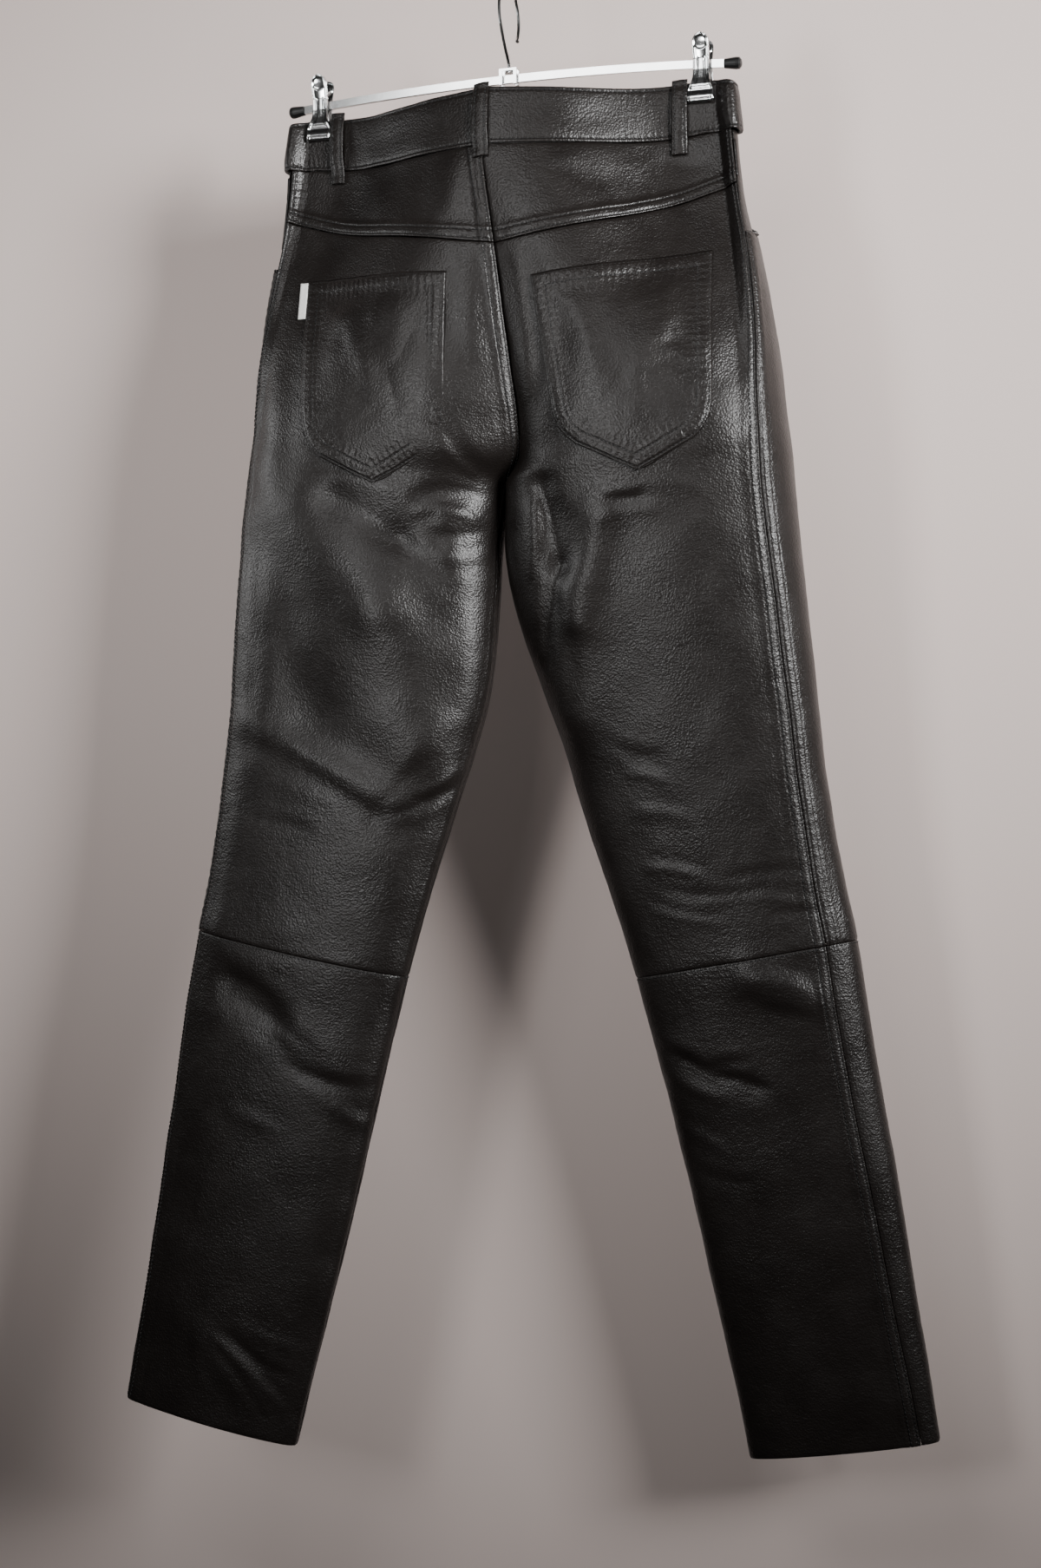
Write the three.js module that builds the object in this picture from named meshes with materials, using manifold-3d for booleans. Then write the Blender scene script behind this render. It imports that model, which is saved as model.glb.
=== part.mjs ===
// Leather trousers hanging by the waistband from a clip hanger, in millimetres.
// The frame: +Z up, -Y towards the viewer who sees the back of the trousers, +X to that viewer's right.
// The origin is the highest point inside the hanger's hook, where a rail carries it.
import * as THREE from 'three';
import * as BufferGeometryUtils from 'three/addons/utils/BufferGeometryUtils.js';
import Module from 'manifold-3d';

const wasm = await Module();
wasm.setup();

// Driving sizes of the cut
const LEATHER = 1.4;
const SEAM_GAP = 0.3;
const HALF_GAP = SEAM_GAP / 2;
const WAIST_SEAM = 127;
const BAND_TOP = 88;
const CROTCH = 361;
const KNEE = 728;
const HEM = 1099;
const LEG_SWING = 40;

// The skin's cross sections, each named by its drop below the hook at the outer edge.
// outer and inner are distances from the middle plane, on the viewer's left and right.
// inner_drop is the drop at the inner edge, because the sections tilt as the legs splay.
// open is the angle at which the section starts at the centre seam, 0 once it is a closed leg.
// back and front are half depths, sway is how far the centre back seam leans to the right,
// roll is how far round the side seam lies from the outer edge, towards the back.
const SECTION_COLUMNS = ['drop', 'outer_left', 'outer_right', 'inner_left', 'inner_right', 'inner_drop',
  'open', 'back', 'front', 'sway', 'roll_left', 'roll_right'];
const SECTION_ROWS = [
  [88, 182, 178, 0, 0, 92, 90, 52, 38, -4, 17, 14],
  [108, 184, 180, 0, 0, 113, 90, 53, 38, -4, 17, 14],
  [127, 186, 182, 0, 0, 135, 90, 55, 39, -4, 17, 14],
  [150, 187, 184, 0, 0, 158, 78, 58, 41, -1, 17, 15],
  [180, 190, 188, 0, 0, 190, 65, 62, 45, 4, 17, 16],
  [215, 195, 196, 0, 0, 229, 53, 66, 48, 9, 17, 18],
  [250, 200, 203, 0, 0, 268, 44, 68, 50, 13, 17, 21],
  [285, 205, 209, 0, 0, 306, 37, 68, 51, 17, 17, 25],
  [315, 208, 213, 0, 0, 338, 29, 66, 51, 19, 17, 29],
  [340, 210, 216, 0, 0, 365, 19, 63, 50, 16, 17, 31],
  [361, 213, 219, 0, 0, 384, 0, 59, 49, 0, 17, 32],
  [385, 216, 221, 3, -1, 408, 0, 55, 47, 0, 17, 33],
  [410, 219, 223, 6, -2, 434, 0, 51, 45, 0, 17, 33],
  [440, 221, 226, 7, 2, 465, 0, 48, 43, 0, 17, 33],
  [480, 224, 230, 9, 13, 506, 0, 44, 40, 0, 17, 33],
  [520, 226, 234, 14, 28, 547, 0, 40, 38, 0, 17, 34],
  [560, 228, 238, 25, 43, 589, 0, 37, 35, 0, 17, 34],
  [600, 232, 242, 38, 55, 630, 0, 34, 33, 0, 17, 35],
  [650, 238, 250, 54, 72, 682, 0, 31, 30, 0, 17, 37],
  [690, 244, 257, 66, 85, 723, 0, 29, 28, 0, 17, 39],
  [728, 252, 265, 76, 96, 761, 0, 28, 27, 0, 17, 40],
  [780, 261, 273, 88, 110, 812, 0, 26, 26, 0, 17, 41],
  [850, 270, 284, 103, 127, 880, 0, 24, 24, 0, 17, 41],
  [920, 280, 296, 118, 143, 949, 0, 22, 22, 0, 17, 40],
  [1000, 291, 308, 137, 160, 1028, 0, 20, 19, 0, 17, 38],
  [1050, 299, 316, 149, 171, 1077, 0, 18, 17, 0, 17, 36],
  [1099, 307, 323, 160, 180, 1125, 0, 16, 15, 0, 17, 34],
];
// How blunt a section is at its side edges: 1 is an ellipse, less is fuller
const ROUNDNESS = 0.8;

// The two clips squeeze back and front together
const CLIP_X = { left: 156, right: 152.5 };
const CLIP_LEVEL = 110;
const CLIP_DRIFT = 0.13;
const LEAST_BULGE = 0.02;
const PINCH_DEPTH = 3.4;
const PINCH_FLAT = 10;
const PINCH_INWARD = 75;
const PINCH_OUTWARD = 14;
const PINCH_START = 115;
const PINCH_LENGTH = 150;
const BAND_SAG = 3.5;
const SAG_LENGTH = 60;
const END_DROOP = 4;
const DROOP_LENGTH = 30;

// The largest folds, as soft ridges (height above 0) and hollows (below 0) between two points
const FOLD_COLUMNS = ['face', 'x1', 'z1', 'x2', 'z2', 'width', 'height'];
const FOLD_ROWS = [
  ['back', -160, -405, -88, -480, 30, 5],
  ['back', -88, -480, -42, -570, 26, 5],
  ['back', -70, -432, -24, -540, 20, -6],
  ['back', -122, -398, -72, -424, 14, -4],
  ['back', -34, -412, -10, -402, 9, 4],
  ['back', -30, -432, -12, -424, 9, 4],
  ['back', 41, -391, 52, -450, 9, -5],
  ['back', 52, -450, 36, -519, 9, -4],
  ['back', 28, -412, 26, -515, 9, 4],
  ['back', 86, -413, 66, -490, 13, 4],
  ['back', 84, -409, 118, -404, 7, -3],
  ['back', -205, -563, -72, -630, 13, 3],
  ['back', -212, -772, -100, -850, 15, -4],
  ['back', -158, -806, -72, -868, 14, 4],
  ['back', 118, -816, 190, -838, 12, -4],
  ['back', 190, -756, 232, -772, 16, 4],
  ['back', -232, -1046, -168, -1106, 14, 4],
  ['front', -150, -400, -60, -440, 18, 4],
  ['front', 60, -440, 150, -400, 18, 4],
  ['front', -60, -300, -130, -330, 16, -3],
  ['front', 60, -300, 130, -330, 16, -3],
  ['front', -210, -745, -110, -775, 14, -4],
  ['front', 120, -775, 225, -745, 14, -4],
  ['front', -215, -800, -115, -835, 16, 3],
  ['front', 130, -835, 235, -800, 16, 3],
];

const sections = SECTION_ROWS.map((row) => Object.fromEntries(SECTION_COLUMNS.map((name, i) => [name, row[i]])));
const folds = FOLD_ROWS.map((row) => Object.fromEntries(FOLD_COLUMNS.map((name, i) => [name, row[i]])));

// A smooth curve through one column of the table, by cubic pieces with averaged slopes
function along(column, drop) {
  const last = sections.length - 1;
  const slopeAt = (i) => {
    const a = sections[Math.max(i - 1, 0)];
    const b = sections[Math.min(i + 1, last)];
    return (b[column] - a[column]) / (b.drop - a.drop);
  };
  let i = 0;
  while (i < last - 1 && drop > sections[i + 1].drop) i += 1;
  const a = sections[i];
  const b = sections[i + 1];
  const span = b.drop - a.drop;
  const t = (drop - a.drop) / span;
  const t2 = t * t;
  const t3 = t2 * t;
  return (2 * t3 - 3 * t2 + 1) * a[column] + (t3 - 2 * t2 + t) * span * slopeAt(i)
    + (3 * t2 - 2 * t3) * b[column] + (t3 - t2) * span * slopeAt(i + 1);
}

const clamp = (value, low, high) => Math.min(Math.max(value, low), high);
const bell = (distance, width) => Math.exp(-((distance / width) ** 2));
const signOf = (side) => (side === 'left' ? -1 : 1);

// One section of one side: where it starts and ends across, and the half width of its curve
function section(side, drop, onBack) {
  const outer = along(`outer_${side}`, drop);
  const open = THREE.MathUtils.degToRad(clamp(along('open', drop), 0, 90));
  const sway = onBack && drop < CROTCH ? along('sway', drop) : 0;
  const inner = along(`inner_${side}`, drop) + HALF_GAP + signOf(side) * sway;
  const half = (outer - inner) / (1 + Math.cos(open));
  return { outer, inner, open, half };
}

function foldLift(face, x, z) {
  let lift = 0;
  for (const fold of folds) {
    if (fold.face !== face) continue;
    const dx = fold.x2 - fold.x1;
    const dz = fold.z2 - fold.z1;
    const t = clamp(((x - fold.x1) * dx + (z - fold.z1) * dz) / (dx * dx + dz * dz), 0, 1);
    lift += fold.height * bell(Math.hypot(x - fold.x1 - t * dx, z - fold.z1 - t * dz), fold.width);
  }
  return lift;
}

// The skin: angle runs from the centre or inseam round the back to the side seam and on over the front
function skin(side, angle, drop) {
  const onBack = Math.sin(angle) > 0;
  const face = onBack ? 'back' : 'front';
  const { outer, inner, half } = section(side, drop, onBack);
  const x = outer - half - half * Math.cos(angle);
  const full = along(face, drop);
  const bulge = Math.abs(Math.sin(angle)) ** ROUNDNESS;
  const clip = CLIP_X[side] + CLIP_DRIFT * Math.max(drop - CLIP_LEVEL, 0);
  const clipBulge = Math.max(1 - ((clip - outer + half) / half) ** 2, LEAST_BULGE) ** (ROUNDNESS / 2);
  const beyond = Math.max(Math.abs(x - clip) - PINCH_FLAT, 0);
  const pinch = (1 - PINCH_DEPTH / (full * clipBulge)) * bell(Math.max(drop - PINCH_START, 0), PINCH_LENGTH)
    * bell(beyond, x < clip ? PINCH_INWARD : PINCH_OUTWARD);
  const across = (x - inner) / (outer - inner);
  const toClip = clamp(x / clip, 0, 1);
  const z = -(along('inner_drop', drop) * (1 - across) + drop * across)
    - END_DROOP * clamp((x - clip) / (outer - clip), 0, 1) ** 2 * bell(Math.max(drop - BAND_TOP, 0), DROOP_LENGTH)
    - 4 * BAND_SAG * toClip * (1 - toClip) * bell(Math.max(drop - WAIST_SEAM, 0), SAG_LENGTH);
  const sideX = signOf(side) * x;
  const depth = full * bulge * (1 - pinch) + foldLift(face, sideX, z) * Math.abs(Math.sin(angle));
  const swing = signOf(side) * LEG_SWING * Math.max((drop - CROTCH) / (HEM - CROTCH), 0);
  return new THREE.Vector3(sideX, (onBack ? -depth : depth) + swing, z);
}

// A point moved out of the skin (or in, below 0) along its normal
function lifted(side, angle, drop, lift) {
  const point = skin(side, angle, drop);
  if (lift === 0) return point;
  const angleStep = 0.004;
  const dropStep = 0.6;
  const across = skin(side, angle + angleStep, drop).sub(skin(side, angle - angleStep, drop));
  const downward = skin(side, angle, drop + dropStep).sub(skin(side, angle, drop - dropStep));
  const normal = across.cross(downward).normalize().multiplyScalar(-signOf(side));
  return point.addScaledVector(normal, lift);
}

// An angle moved along the section by a length in millimetres
function nudged(side, angle, drop, length) {
  const step = 0.01;
  const speed = skin(side, angle + step, drop).distanceTo(skin(side, angle - step, drop)) / (2 * step);
  return angle + length / speed;
}

// The angle and drop of the skin's point that has a given x and z
function find(side, face, x, z) {
  const onBack = face === 'back';
  const reach = signOf(side) * x;
  let low = 60;
  let high = HEM + 40;
  for (let i = 0; i < 40; i += 1) {
    const drop = (low + high) / 2;
    const { outer, inner } = section(side, drop, onBack);
    const across = (reach - inner) / (outer - inner);
    if (-(along('inner_drop', drop) * (1 - across) + drop * across) > z) low = drop;
    else high = drop;
  }
  const { outer, half } = section(side, low, onBack);
  const angle = Math.acos(clamp((outer - half - reach) / half, -1, 1));
  return { angle: onBack ? angle : 2 * Math.PI - angle, drop: low };
}

const openAngle = (side, drop) => section(side, drop, true).open;
const isClosed = (open) => open < 0.01;
const seamAngle = (side, drop) => Math.PI - THREE.MathUtils.degToRad(along(`roll_${side}`, drop));

// Materials
const blackLeather = new THREE.MeshStandardMaterial({ color: 0x191817, roughness: 0.42, metalness: 0 });
const blackRubber = new THREE.MeshStandardMaterial({ color: 0x151515, roughness: 0.6, metalness: 0 });
const chrome = new THREE.MeshStandardMaterial({ color: 0xd8dadc, roughness: 0.08, metalness: 1 });
const darkMetal = new THREE.MeshStandardMaterial({ color: 0x4a4a4c, roughness: 0.35, metalness: 1 });
const whiteTape = new THREE.MeshStandardMaterial({ color: 0xe6e4df, roughness: 0.8, metalness: 0 });

const trousers = new THREE.Group();

function addGeometry(name, geometry, material) {
  const mesh = new THREE.Mesh(geometry, material);
  mesh.name = name;
  trousers.add(mesh);
  return mesh;
}

// A closed wall from a grid: pointAt(row, column, lift) gives its outer (high) and inner (low) points
function addWall(name, rows, columns, pointAt, high, low, material) {
  const width = columns + 1;
  const layer = (rows + 1) * width;
  const positions = [];
  for (const lift of [high, low]) {
    for (let r = 0; r <= rows; r += 1) {
      for (let c = 0; c <= columns; c += 1) positions.push(...pointAt(r, c, lift).toArray());
    }
  }
  const indices = [];
  const quad = (a, b, c, d) => indices.push(a, b, c, a, c, d);
  const at = (r, c) => r * width + c;
  for (let r = 0; r < rows; r += 1) {
    for (let c = 0; c < columns; c += 1) {
      quad(at(r, c), at(r + 1, c), at(r + 1, c + 1), at(r, c + 1));
      quad(layer + at(r, c), layer + at(r, c + 1), layer + at(r + 1, c + 1), layer + at(r + 1, c));
    }
    quad(at(r, 0), layer + at(r, 0), layer + at(r + 1, 0), at(r + 1, 0));
    quad(at(r, columns), at(r + 1, columns), layer + at(r + 1, columns), layer + at(r, columns));
  }
  for (let c = 0; c < columns; c += 1) {
    quad(at(0, c), at(0, c + 1), layer + at(0, c + 1), layer + at(0, c));
    quad(at(rows, c), layer + at(rows, c), layer + at(rows, c + 1), at(rows, c + 1));
  }
  const geometry = new THREE.BufferGeometry();
  geometry.setAttribute('position', new THREE.Float32BufferAttribute(positions, 3));
  geometry.setIndex(signedVolume(positions, indices) < 0 ? flipped(indices) : indices);
  geometry.computeVertexNormals();
  return addGeometry(name, geometry, material);
}

function signedVolume(positions, indices) {
  const corner = (i) => new THREE.Vector3().fromArray(positions, 3 * i);
  let volume = 0;
  for (let i = 0; i < indices.length; i += 3) {
    volume += corner(indices[i]).dot(corner(indices[i + 1]).cross(corner(indices[i + 2]))) / 6;
  }
  return volume;
}

function flipped(indices) {
  const turned = [];
  for (let i = 0; i < indices.length; i += 3) turned.push(indices[i], indices[i + 2], indices[i + 1]);
  return turned;
}

// The angle across a panel at the fraction g of the way from its first edge to its second
const between = (first, second, g) => first + (second - first) * g;

// Back panels: yoke above, then one long panel to the knee, and the lower leg
const YOKE_REFERENCE = 185;
const YOKE_CENTRE = 198;
const YOKE_RISE = 31;
const YOKE_CURVE = 1.45;

function yokeDrop(side, g) {
  const angle = between(openAngle(side, YOKE_REFERENCE), seamAngle(side, YOKE_REFERENCE), g);
  const { outer, inner, half } = section(side, YOKE_REFERENCE, true);
  const across = (outer - half - half * Math.cos(angle) - inner) / (outer - inner);
  return YOKE_CENTRE - YOKE_RISE * Math.max(across, 0) ** YOKE_CURVE;
}

function backPoint(side, g, drop, lift) {
  const open = openAngle(side, drop);
  const first = isClosed(open) ? nudged(side, open, drop, HALF_GAP) : open;
  const second = nudged(side, seamAngle(side, drop), drop, -HALF_GAP);
  return lifted(side, between(first, second, g), drop, lift);
}

function frontPoint(side, g, drop, lift) {
  const open = openAngle(side, drop);
  const first = nudged(side, seamAngle(side, drop), drop, HALF_GAP);
  const last = 2 * Math.PI - open;
  const second = isClosed(open) ? nudged(side, last, drop, -HALF_GAP) : last;
  return lifted(side, between(first, second, g), drop, lift);
}

// Rows that close up near the crotch, where the panels curve most, named by their drop at the centre.
// Front and back share them below the pocket mouth, so that both sides of a seam have the same corners.
const BACK_ROWS = [198, 212, 226, 240, 254, 268, 282, 306, 327, 344, 354, 361, 370, 382, 397, 414, 432, 452, 475, 500, 530, 562,
  598, 636, 682, 728];
const MOUTH_ROWS = [127, 147, 165, 180, 192, 201, 205, 206];
const FRONT_ROWS = [...MOUTH_ROWS, ...BACK_ROWS.filter((drop) => drop >= 240)];
const LOWER_ROWS = [728, 757, 786, 815, 848, 885, 930, 980, 1025, 1060, 1082, 1099];
const ACROSS = 10;

// The front pocket's mouth: a curved cut that leaves the panel's upper outer corner open
const MOUTH_END = 206;
const MOUTH_SHARE = 0.46;
const MOUTH_POWER = 2.2;

function mouthShare(drop) {
  if (drop >= MOUTH_END) return 0;
  const t = (drop - WAIST_SEAM) / (MOUTH_END - WAIST_SEAM);
  return MOUTH_SHARE * (1 - Math.max(t, 0) ** MOUTH_POWER) ** (1 / MOUTH_POWER);
}

// A row's drop, kept half a gap clear of the seam at either end of a panel
const rowDrop = (rows, r) => rows[r] + (r === 0 ? HALF_GAP : 0) - (r === rows.length - 1 ? HALF_GAP : 0);

// The drop along a shared row, at the fraction g of the way from the centre seam to the side seam
function panelDrop(side, g, row) {
  const share = (row - YOKE_CENTRE) / (KNEE - YOKE_CENTRE);
  return between(yokeDrop(side, g) + HALF_GAP, KNEE - HALF_GAP, share);
}

for (const side of ['left', 'right']) {
  const yokeRows = 5;
  addWall(`yoke_${side}`, yokeRows, ACROSS, (r, c, lift) => {
    const g = c / ACROSS;
    const low = yokeDrop(side, g) - HALF_GAP;
    return backPoint(side, g, between(WAIST_SEAM + HALF_GAP, low, r / yokeRows), lift);
  }, 0, -LEATHER, blackLeather);

  addWall(`back_upper_${side}`, BACK_ROWS.length - 1, ACROSS, (r, c, lift) => {
    const g = c / ACROSS;
    return backPoint(side, g, panelDrop(side, g, BACK_ROWS[r]), lift);
  }, 0, -LEATHER, blackLeather);

  addWall(`front_upper_${side}`, FRONT_ROWS.length - 1, ACROSS, (r, c, lift) => {
    const g = c / ACROSS;
    if (r < MOUTH_ROWS.length) {
      const drop = FRONT_ROWS[r] + (r === 0 ? HALF_GAP : 0);
      return frontPoint(side, between(mouthShare(drop), 1, g), drop, lift);
    }
    return frontPoint(side, g, panelDrop(side, 1 - g, FRONT_ROWS[r]), lift);
  }, 0, -LEATHER, blackLeather);

  addWall(`back_lower_${side}`, LOWER_ROWS.length - 1, ACROSS, (r, c, lift) => (
    backPoint(side, c / ACROSS, rowDrop(LOWER_ROWS, r), lift)), 0, -LEATHER, blackLeather);

  addWall(`front_lower_${side}`, LOWER_ROWS.length - 1, ACROSS, (r, c, lift) => (
    frontPoint(side, c / ACROSS, rowDrop(LOWER_ROWS, r), lift)), 0, -LEATHER, blackLeather);
}

// Pocket facings: the leather that shows above each front pocket's mouth, set back behind the panel
const FACING_SETBACK = 3.2;
const FACING_OVERLAP = 0.07;
const FACING_TAPER_END = 238;
const FACING_ROWS = [127, 146, 163, 178, 191, 201, 209, 218];
const FACING_ACROSS = 6;

for (const side of ['left', 'right']) {
  addWall(`pocket_facing_${side}`, FACING_ROWS.length - 1, FACING_ACROSS, (r, c, lift) => {
    const drop = FACING_ROWS[r] + (r === 0 ? HALF_GAP : 0);
    const taper = (FACING_TAPER_END - drop) / (FACING_TAPER_END - WAIST_SEAM);
    const reach = mouthShare(drop) + FACING_OVERLAP * taper;
    return frontPoint(side, reach * c / FACING_ACROSS, drop, lift);
  }, -FACING_SETBACK, -FACING_SETBACK - LEATHER, blackLeather);
}

// Waistband: doubled leather in two halves that meet at the centre back,
// the left half's end laid over the right half's end at the centre front
const BAND_OUT = 1.2;
const BAND_IN = 1.6;
const BAND_ROWS = 4;
const BAND_COLUMNS = 34;
const LAP_REACH = 14;
const LAP_RISE = 3.2;
const LAP_START = 30;
const LAP_FULL = 6;
const UNDER_END = 4;

for (const side of ['left', 'right']) {
  const beyondFront = side === 'left' ? LAP_REACH : -UNDER_END;
  addWall(`waistband_${side}`, BAND_ROWS, BAND_COLUMNS, (r, c, lift) => {
    const drop = between(BAND_TOP, WAIST_SEAM - HALF_GAP, r / BAND_ROWS);
    const last = nudged(side, 1.5 * Math.PI, drop, beyondFront);
    const angle = between(Math.PI / 2, last, c / BAND_COLUMNS);
    const fromFront = -skin(side, angle, drop).x;
    const onLap = side === 'left' && angle > Math.PI;
    const rise = onLap ? LAP_RISE * (1 - THREE.MathUtils.smoothstep(fromFront, LAP_FULL, LAP_START)) : 0;
    return lifted(side, angle, drop, lift + rise);
  }, BAND_OUT, -BAND_IN, blackLeather);
}

// Waist button: a plain domed disc on the lap
const BUTTON_RADIUS = 8.5;
const BUTTON_DROP = 108;
const BUTTON_STAND = 0.25;
const buttonProfile = [[0, 0], [BUTTON_RADIUS - 1, 0], [BUTTON_RADIUS, 1], [BUTTON_RADIUS - 0.8, 2.2], [4, 2.8],
  [0, 3]].map(([x, y]) => new THREE.Vector2(x, y));
const buttonSeat = lifted('left', 1.5 * Math.PI, BUTTON_DROP, BAND_OUT + LAP_RISE + SEAM_GAP);
const button = addGeometry('waist_button', new THREE.LatheGeometry(buttonProfile, 24), darkMetal);
button.position.copy(buttonSeat).add(new THREE.Vector3(0, BUTTON_STAND, 0));

// Belt loops: folded strips sewn over the band at both ends and standing off it between
const LOOP_WIDTH = 12;
const LOOP_THICK = 2.4;
const LOOP_LENGTH = 56;
const CENTRE_BACK = -4;
const LOOP_COLUMNS = ['name', 'face', 'x', 'top'];
const LOOP_ROWS = [
  ['belt_loop_back', 'back', CENTRE_BACK, -89],
  ['belt_loop_back_left', 'back', -139.5, -84],
  ['belt_loop_back_right', 'back', 136.3, -86],
  ['belt_loop_front_left', 'front', -88, -89],
  ['belt_loop_front_right', 'front', 88, -89],
];
const LOOP_STEPS = [0, 0.08, 0.16, 0.3, 0.45, 0.6, 0.7, 0.78, 0.88, 1];
const LOOP_STAND = [1.6, 1.6, 3, 4, 4.2, 4, 3.2, 1.8, 0.5, 0.5];

for (const row of LOOP_ROWS) {
  const loop = Object.fromEntries(LOOP_COLUMNS.map((name, i) => [name, row[i]]));
  addWall(loop.name, LOOP_STEPS.length - 1, 2, (r, c, lift) => {
    const x = loop.x + LOOP_WIDTH * (c / 2 - 0.5);
    const side = x < CENTRE_BACK ? 'left' : 'right';
    const { angle, drop } = find(side, loop.face, x, loop.top - LOOP_LENGTH * LOOP_STEPS[r]);
    return lifted(side, angle, drop, lift + LOOP_STAND[r]);
  }, LOOP_THICK, 0, blackLeather);
}

// Back pockets: five-sided patches laid on the panels.
// A pocket is drawn from the middle of its top edge: half is half that edge, axis runs to its tip.
const POCKET_COLUMNS = ['side', 'top_x', 'top_z', 'half_x', 'half_z', 'axis_x', 'axis_z'];
const POCKET_ROWS = [
  ['right', 101, -228.5, 64, 8.5, 16, -155.5],
  ['left', -93.5, -225, -64.5, 5, 3.5, -160],
];
const POCKET_OUTLINE_DOWN = [0, 0.12, 0.24, 0.36, 0.48, 0.6, 0.7, 0.77, 0.82, 0.86, 0.91, 0.955, 0.985];
const POCKET_OUTLINE_HALF = [1, 0.988, 0.976, 0.964, 0.952, 0.94, 0.92, 0.87, 0.79, 0.69, 0.45, 0.24, 0.08];
const POCKET_ACROSS = 10;
const POCKET_STAND = 0.6;
const pockets = POCKET_ROWS.map((row) => Object.fromEntries(POCKET_COLUMNS.map((name, i) => [name, row[i]])));

function pocketPoint(pocket, across, down, lift) {
  const x = pocket.top_x + pocket.half_x * across + pocket.axis_x * down;
  const z = pocket.top_z + pocket.half_z * across * (1 - down) + pocket.axis_z * down;
  const { angle, drop } = find(pocket.side, 'back', x, z);
  return lifted(pocket.side, angle, drop, lift);
}

for (const pocket of pockets) {
  addWall(`back_pocket_${pocket.side}`, POCKET_OUTLINE_DOWN.length - 1, POCKET_ACROSS, (r, c, lift) => {
    const across = (2 * c / POCKET_ACROSS - 1) * POCKET_OUTLINE_HALF[r];
    return pocketPoint(pocket, across, POCKET_OUTLINE_DOWN[r], lift);
  }, POCKET_STAND + LEATHER, POCKET_STAND, blackLeather);
}

// Bare tape tab caught in the outer edge of the left pocket
const TAB_WIDTH = 7;
const TAB_LENGTH = 29;
const TAB_THICK = 0.8;
const TAB_TOP = 0.01;
const TAB_GAP = 0.4;
const TAB_ROWS = 3;
const POCKET_TAPER = 0.1;
const tabPocket = pockets[1];

addWall('pocket_tab', TAB_ROWS, 1, (r, c, lift) => {
  const down = TAB_TOP + (TAB_LENGTH / -tabPocket.axis_z) * (r / TAB_ROWS);
  const edge = 1 - POCKET_TAPER * down;
  return pocketPoint(tabPocket, edge + (TAB_GAP + TAB_WIDTH * c) / -tabPocket.half_x, down, lift);
}, POCKET_STAND + TAB_THICK, POCKET_STAND, whiteTape);

// Hanger bar: flat chromed strip, a little arched, with a rubber cap on each end
const BAR_HALF_THICK = 1.5;
const BAR_HALF_TALL = 3;
const BAR_CENTRE_Z = -71;
const BAR_ARCH = 5;
const BAR_ARCH_REACH = 152;
const BAR_TILT = 0.006;
const BAR_END = { left: -171, right: 169 };
const BAR_STEPS = 24;
const barHeight = (x) => BAR_CENTRE_Z - BAR_ARCH * (x / BAR_ARCH_REACH) ** 2 + BAR_TILT * x;

addWall('hanger_bar', BAR_STEPS, 1, (r, c, lift) => {
  const x = between(BAR_END.left, BAR_END.right, r / BAR_STEPS);
  return new THREE.Vector3(x, (c ? 1 : -1) * BAR_HALF_THICK, barHeight(x) + lift);
}, BAR_HALF_TALL, -BAR_HALF_TALL, chrome);

const CAP_LENGTH = 13;
const capProfile = [[0, 0], [3.4, 0], [3.6, 0.6], [4.6, CAP_LENGTH - 4], [4.3, CAP_LENGTH - 1.6],
  [2.8, CAP_LENGTH - 0.3], [0, CAP_LENGTH]].map(([x, y]) => new THREE.Vector2(x, y));

for (const side of ['left', 'right']) {
  const sign = signOf(side);
  const end = BAR_END[side];
  const lean = Math.atan2(barHeight(end) - barHeight(end - sign), sign);
  const cap = addGeometry(`end_cap_${side}`, new THREE.LatheGeometry(capProfile, 20), blackRubber);
  cap.position.set(end + sign * SEAM_GAP, 0, barHeight(end));
  cap.rotation.set(0, 0, -Math.PI / 2);
  cap.rotation.order = 'YXZ';
  cap.rotation.y = -lean;
}

// A solid for cutting and joining
function solidOf(geometry) {
  geometry.deleteAttribute('normal');
  geometry.deleteAttribute('uv');
  const merged = BufferGeometryUtils.mergeVertices(geometry, 1e-4);
  const index = merged.index ? merged.index.array : Uint32Array.from(merged.attributes.position.array.keys());
  return new wasm.Manifold(new wasm.Mesh({
    numProp: 3,
    vertProperties: new Float32Array(merged.attributes.position.array),
    triVerts: new Uint32Array(index),
  }));
}

function geometryOf(solid) {
  const mesh = solid.getMesh();
  const geometry = new THREE.BufferGeometry();
  geometry.setAttribute('position', new THREE.Float32BufferAttribute(mesh.vertProperties, 3));
  geometry.setIndex(new THREE.Uint32BufferAttribute(mesh.triVerts, 1));
  geometry.computeVertexNormals();
  return geometry;
}

// Hook bracket: a saddle over the bar, its four prongs turned in under it
const SADDLE_LENGTH = 14;
const SADDLE_TOP = -63.4;
const SADDLE_THICK = 1.2;
const SADDLE_INNER = 3.2;
const SADDLE_LIP = 1.2;
const PRONG_WIDTH = 2.5;
const lipTop = BAR_CENTRE_Z - BAR_HALF_TALL - SEAM_GAP;
const saddleProfile = new THREE.Shape([
  [SADDLE_INNER + SADDLE_THICK, SADDLE_TOP], [-SADDLE_INNER - SADDLE_THICK, SADDLE_TOP],
  [-SADDLE_INNER - SADDLE_THICK, lipTop - SADDLE_THICK], [-SADDLE_LIP, lipTop - SADDLE_THICK],
  [-SADDLE_LIP, lipTop], [-SADDLE_INNER, lipTop], [-SADDLE_INNER, SADDLE_TOP - SADDLE_THICK],
  [SADDLE_INNER, SADDLE_TOP - SADDLE_THICK], [SADDLE_INNER, lipTop], [SADDLE_LIP, lipTop],
  [SADDLE_LIP, lipTop - SADDLE_THICK], [SADDLE_INNER + SADDLE_THICK, lipTop - SADDLE_THICK],
].map(([y, z]) => new THREE.Vector2(y, z)));
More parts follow.
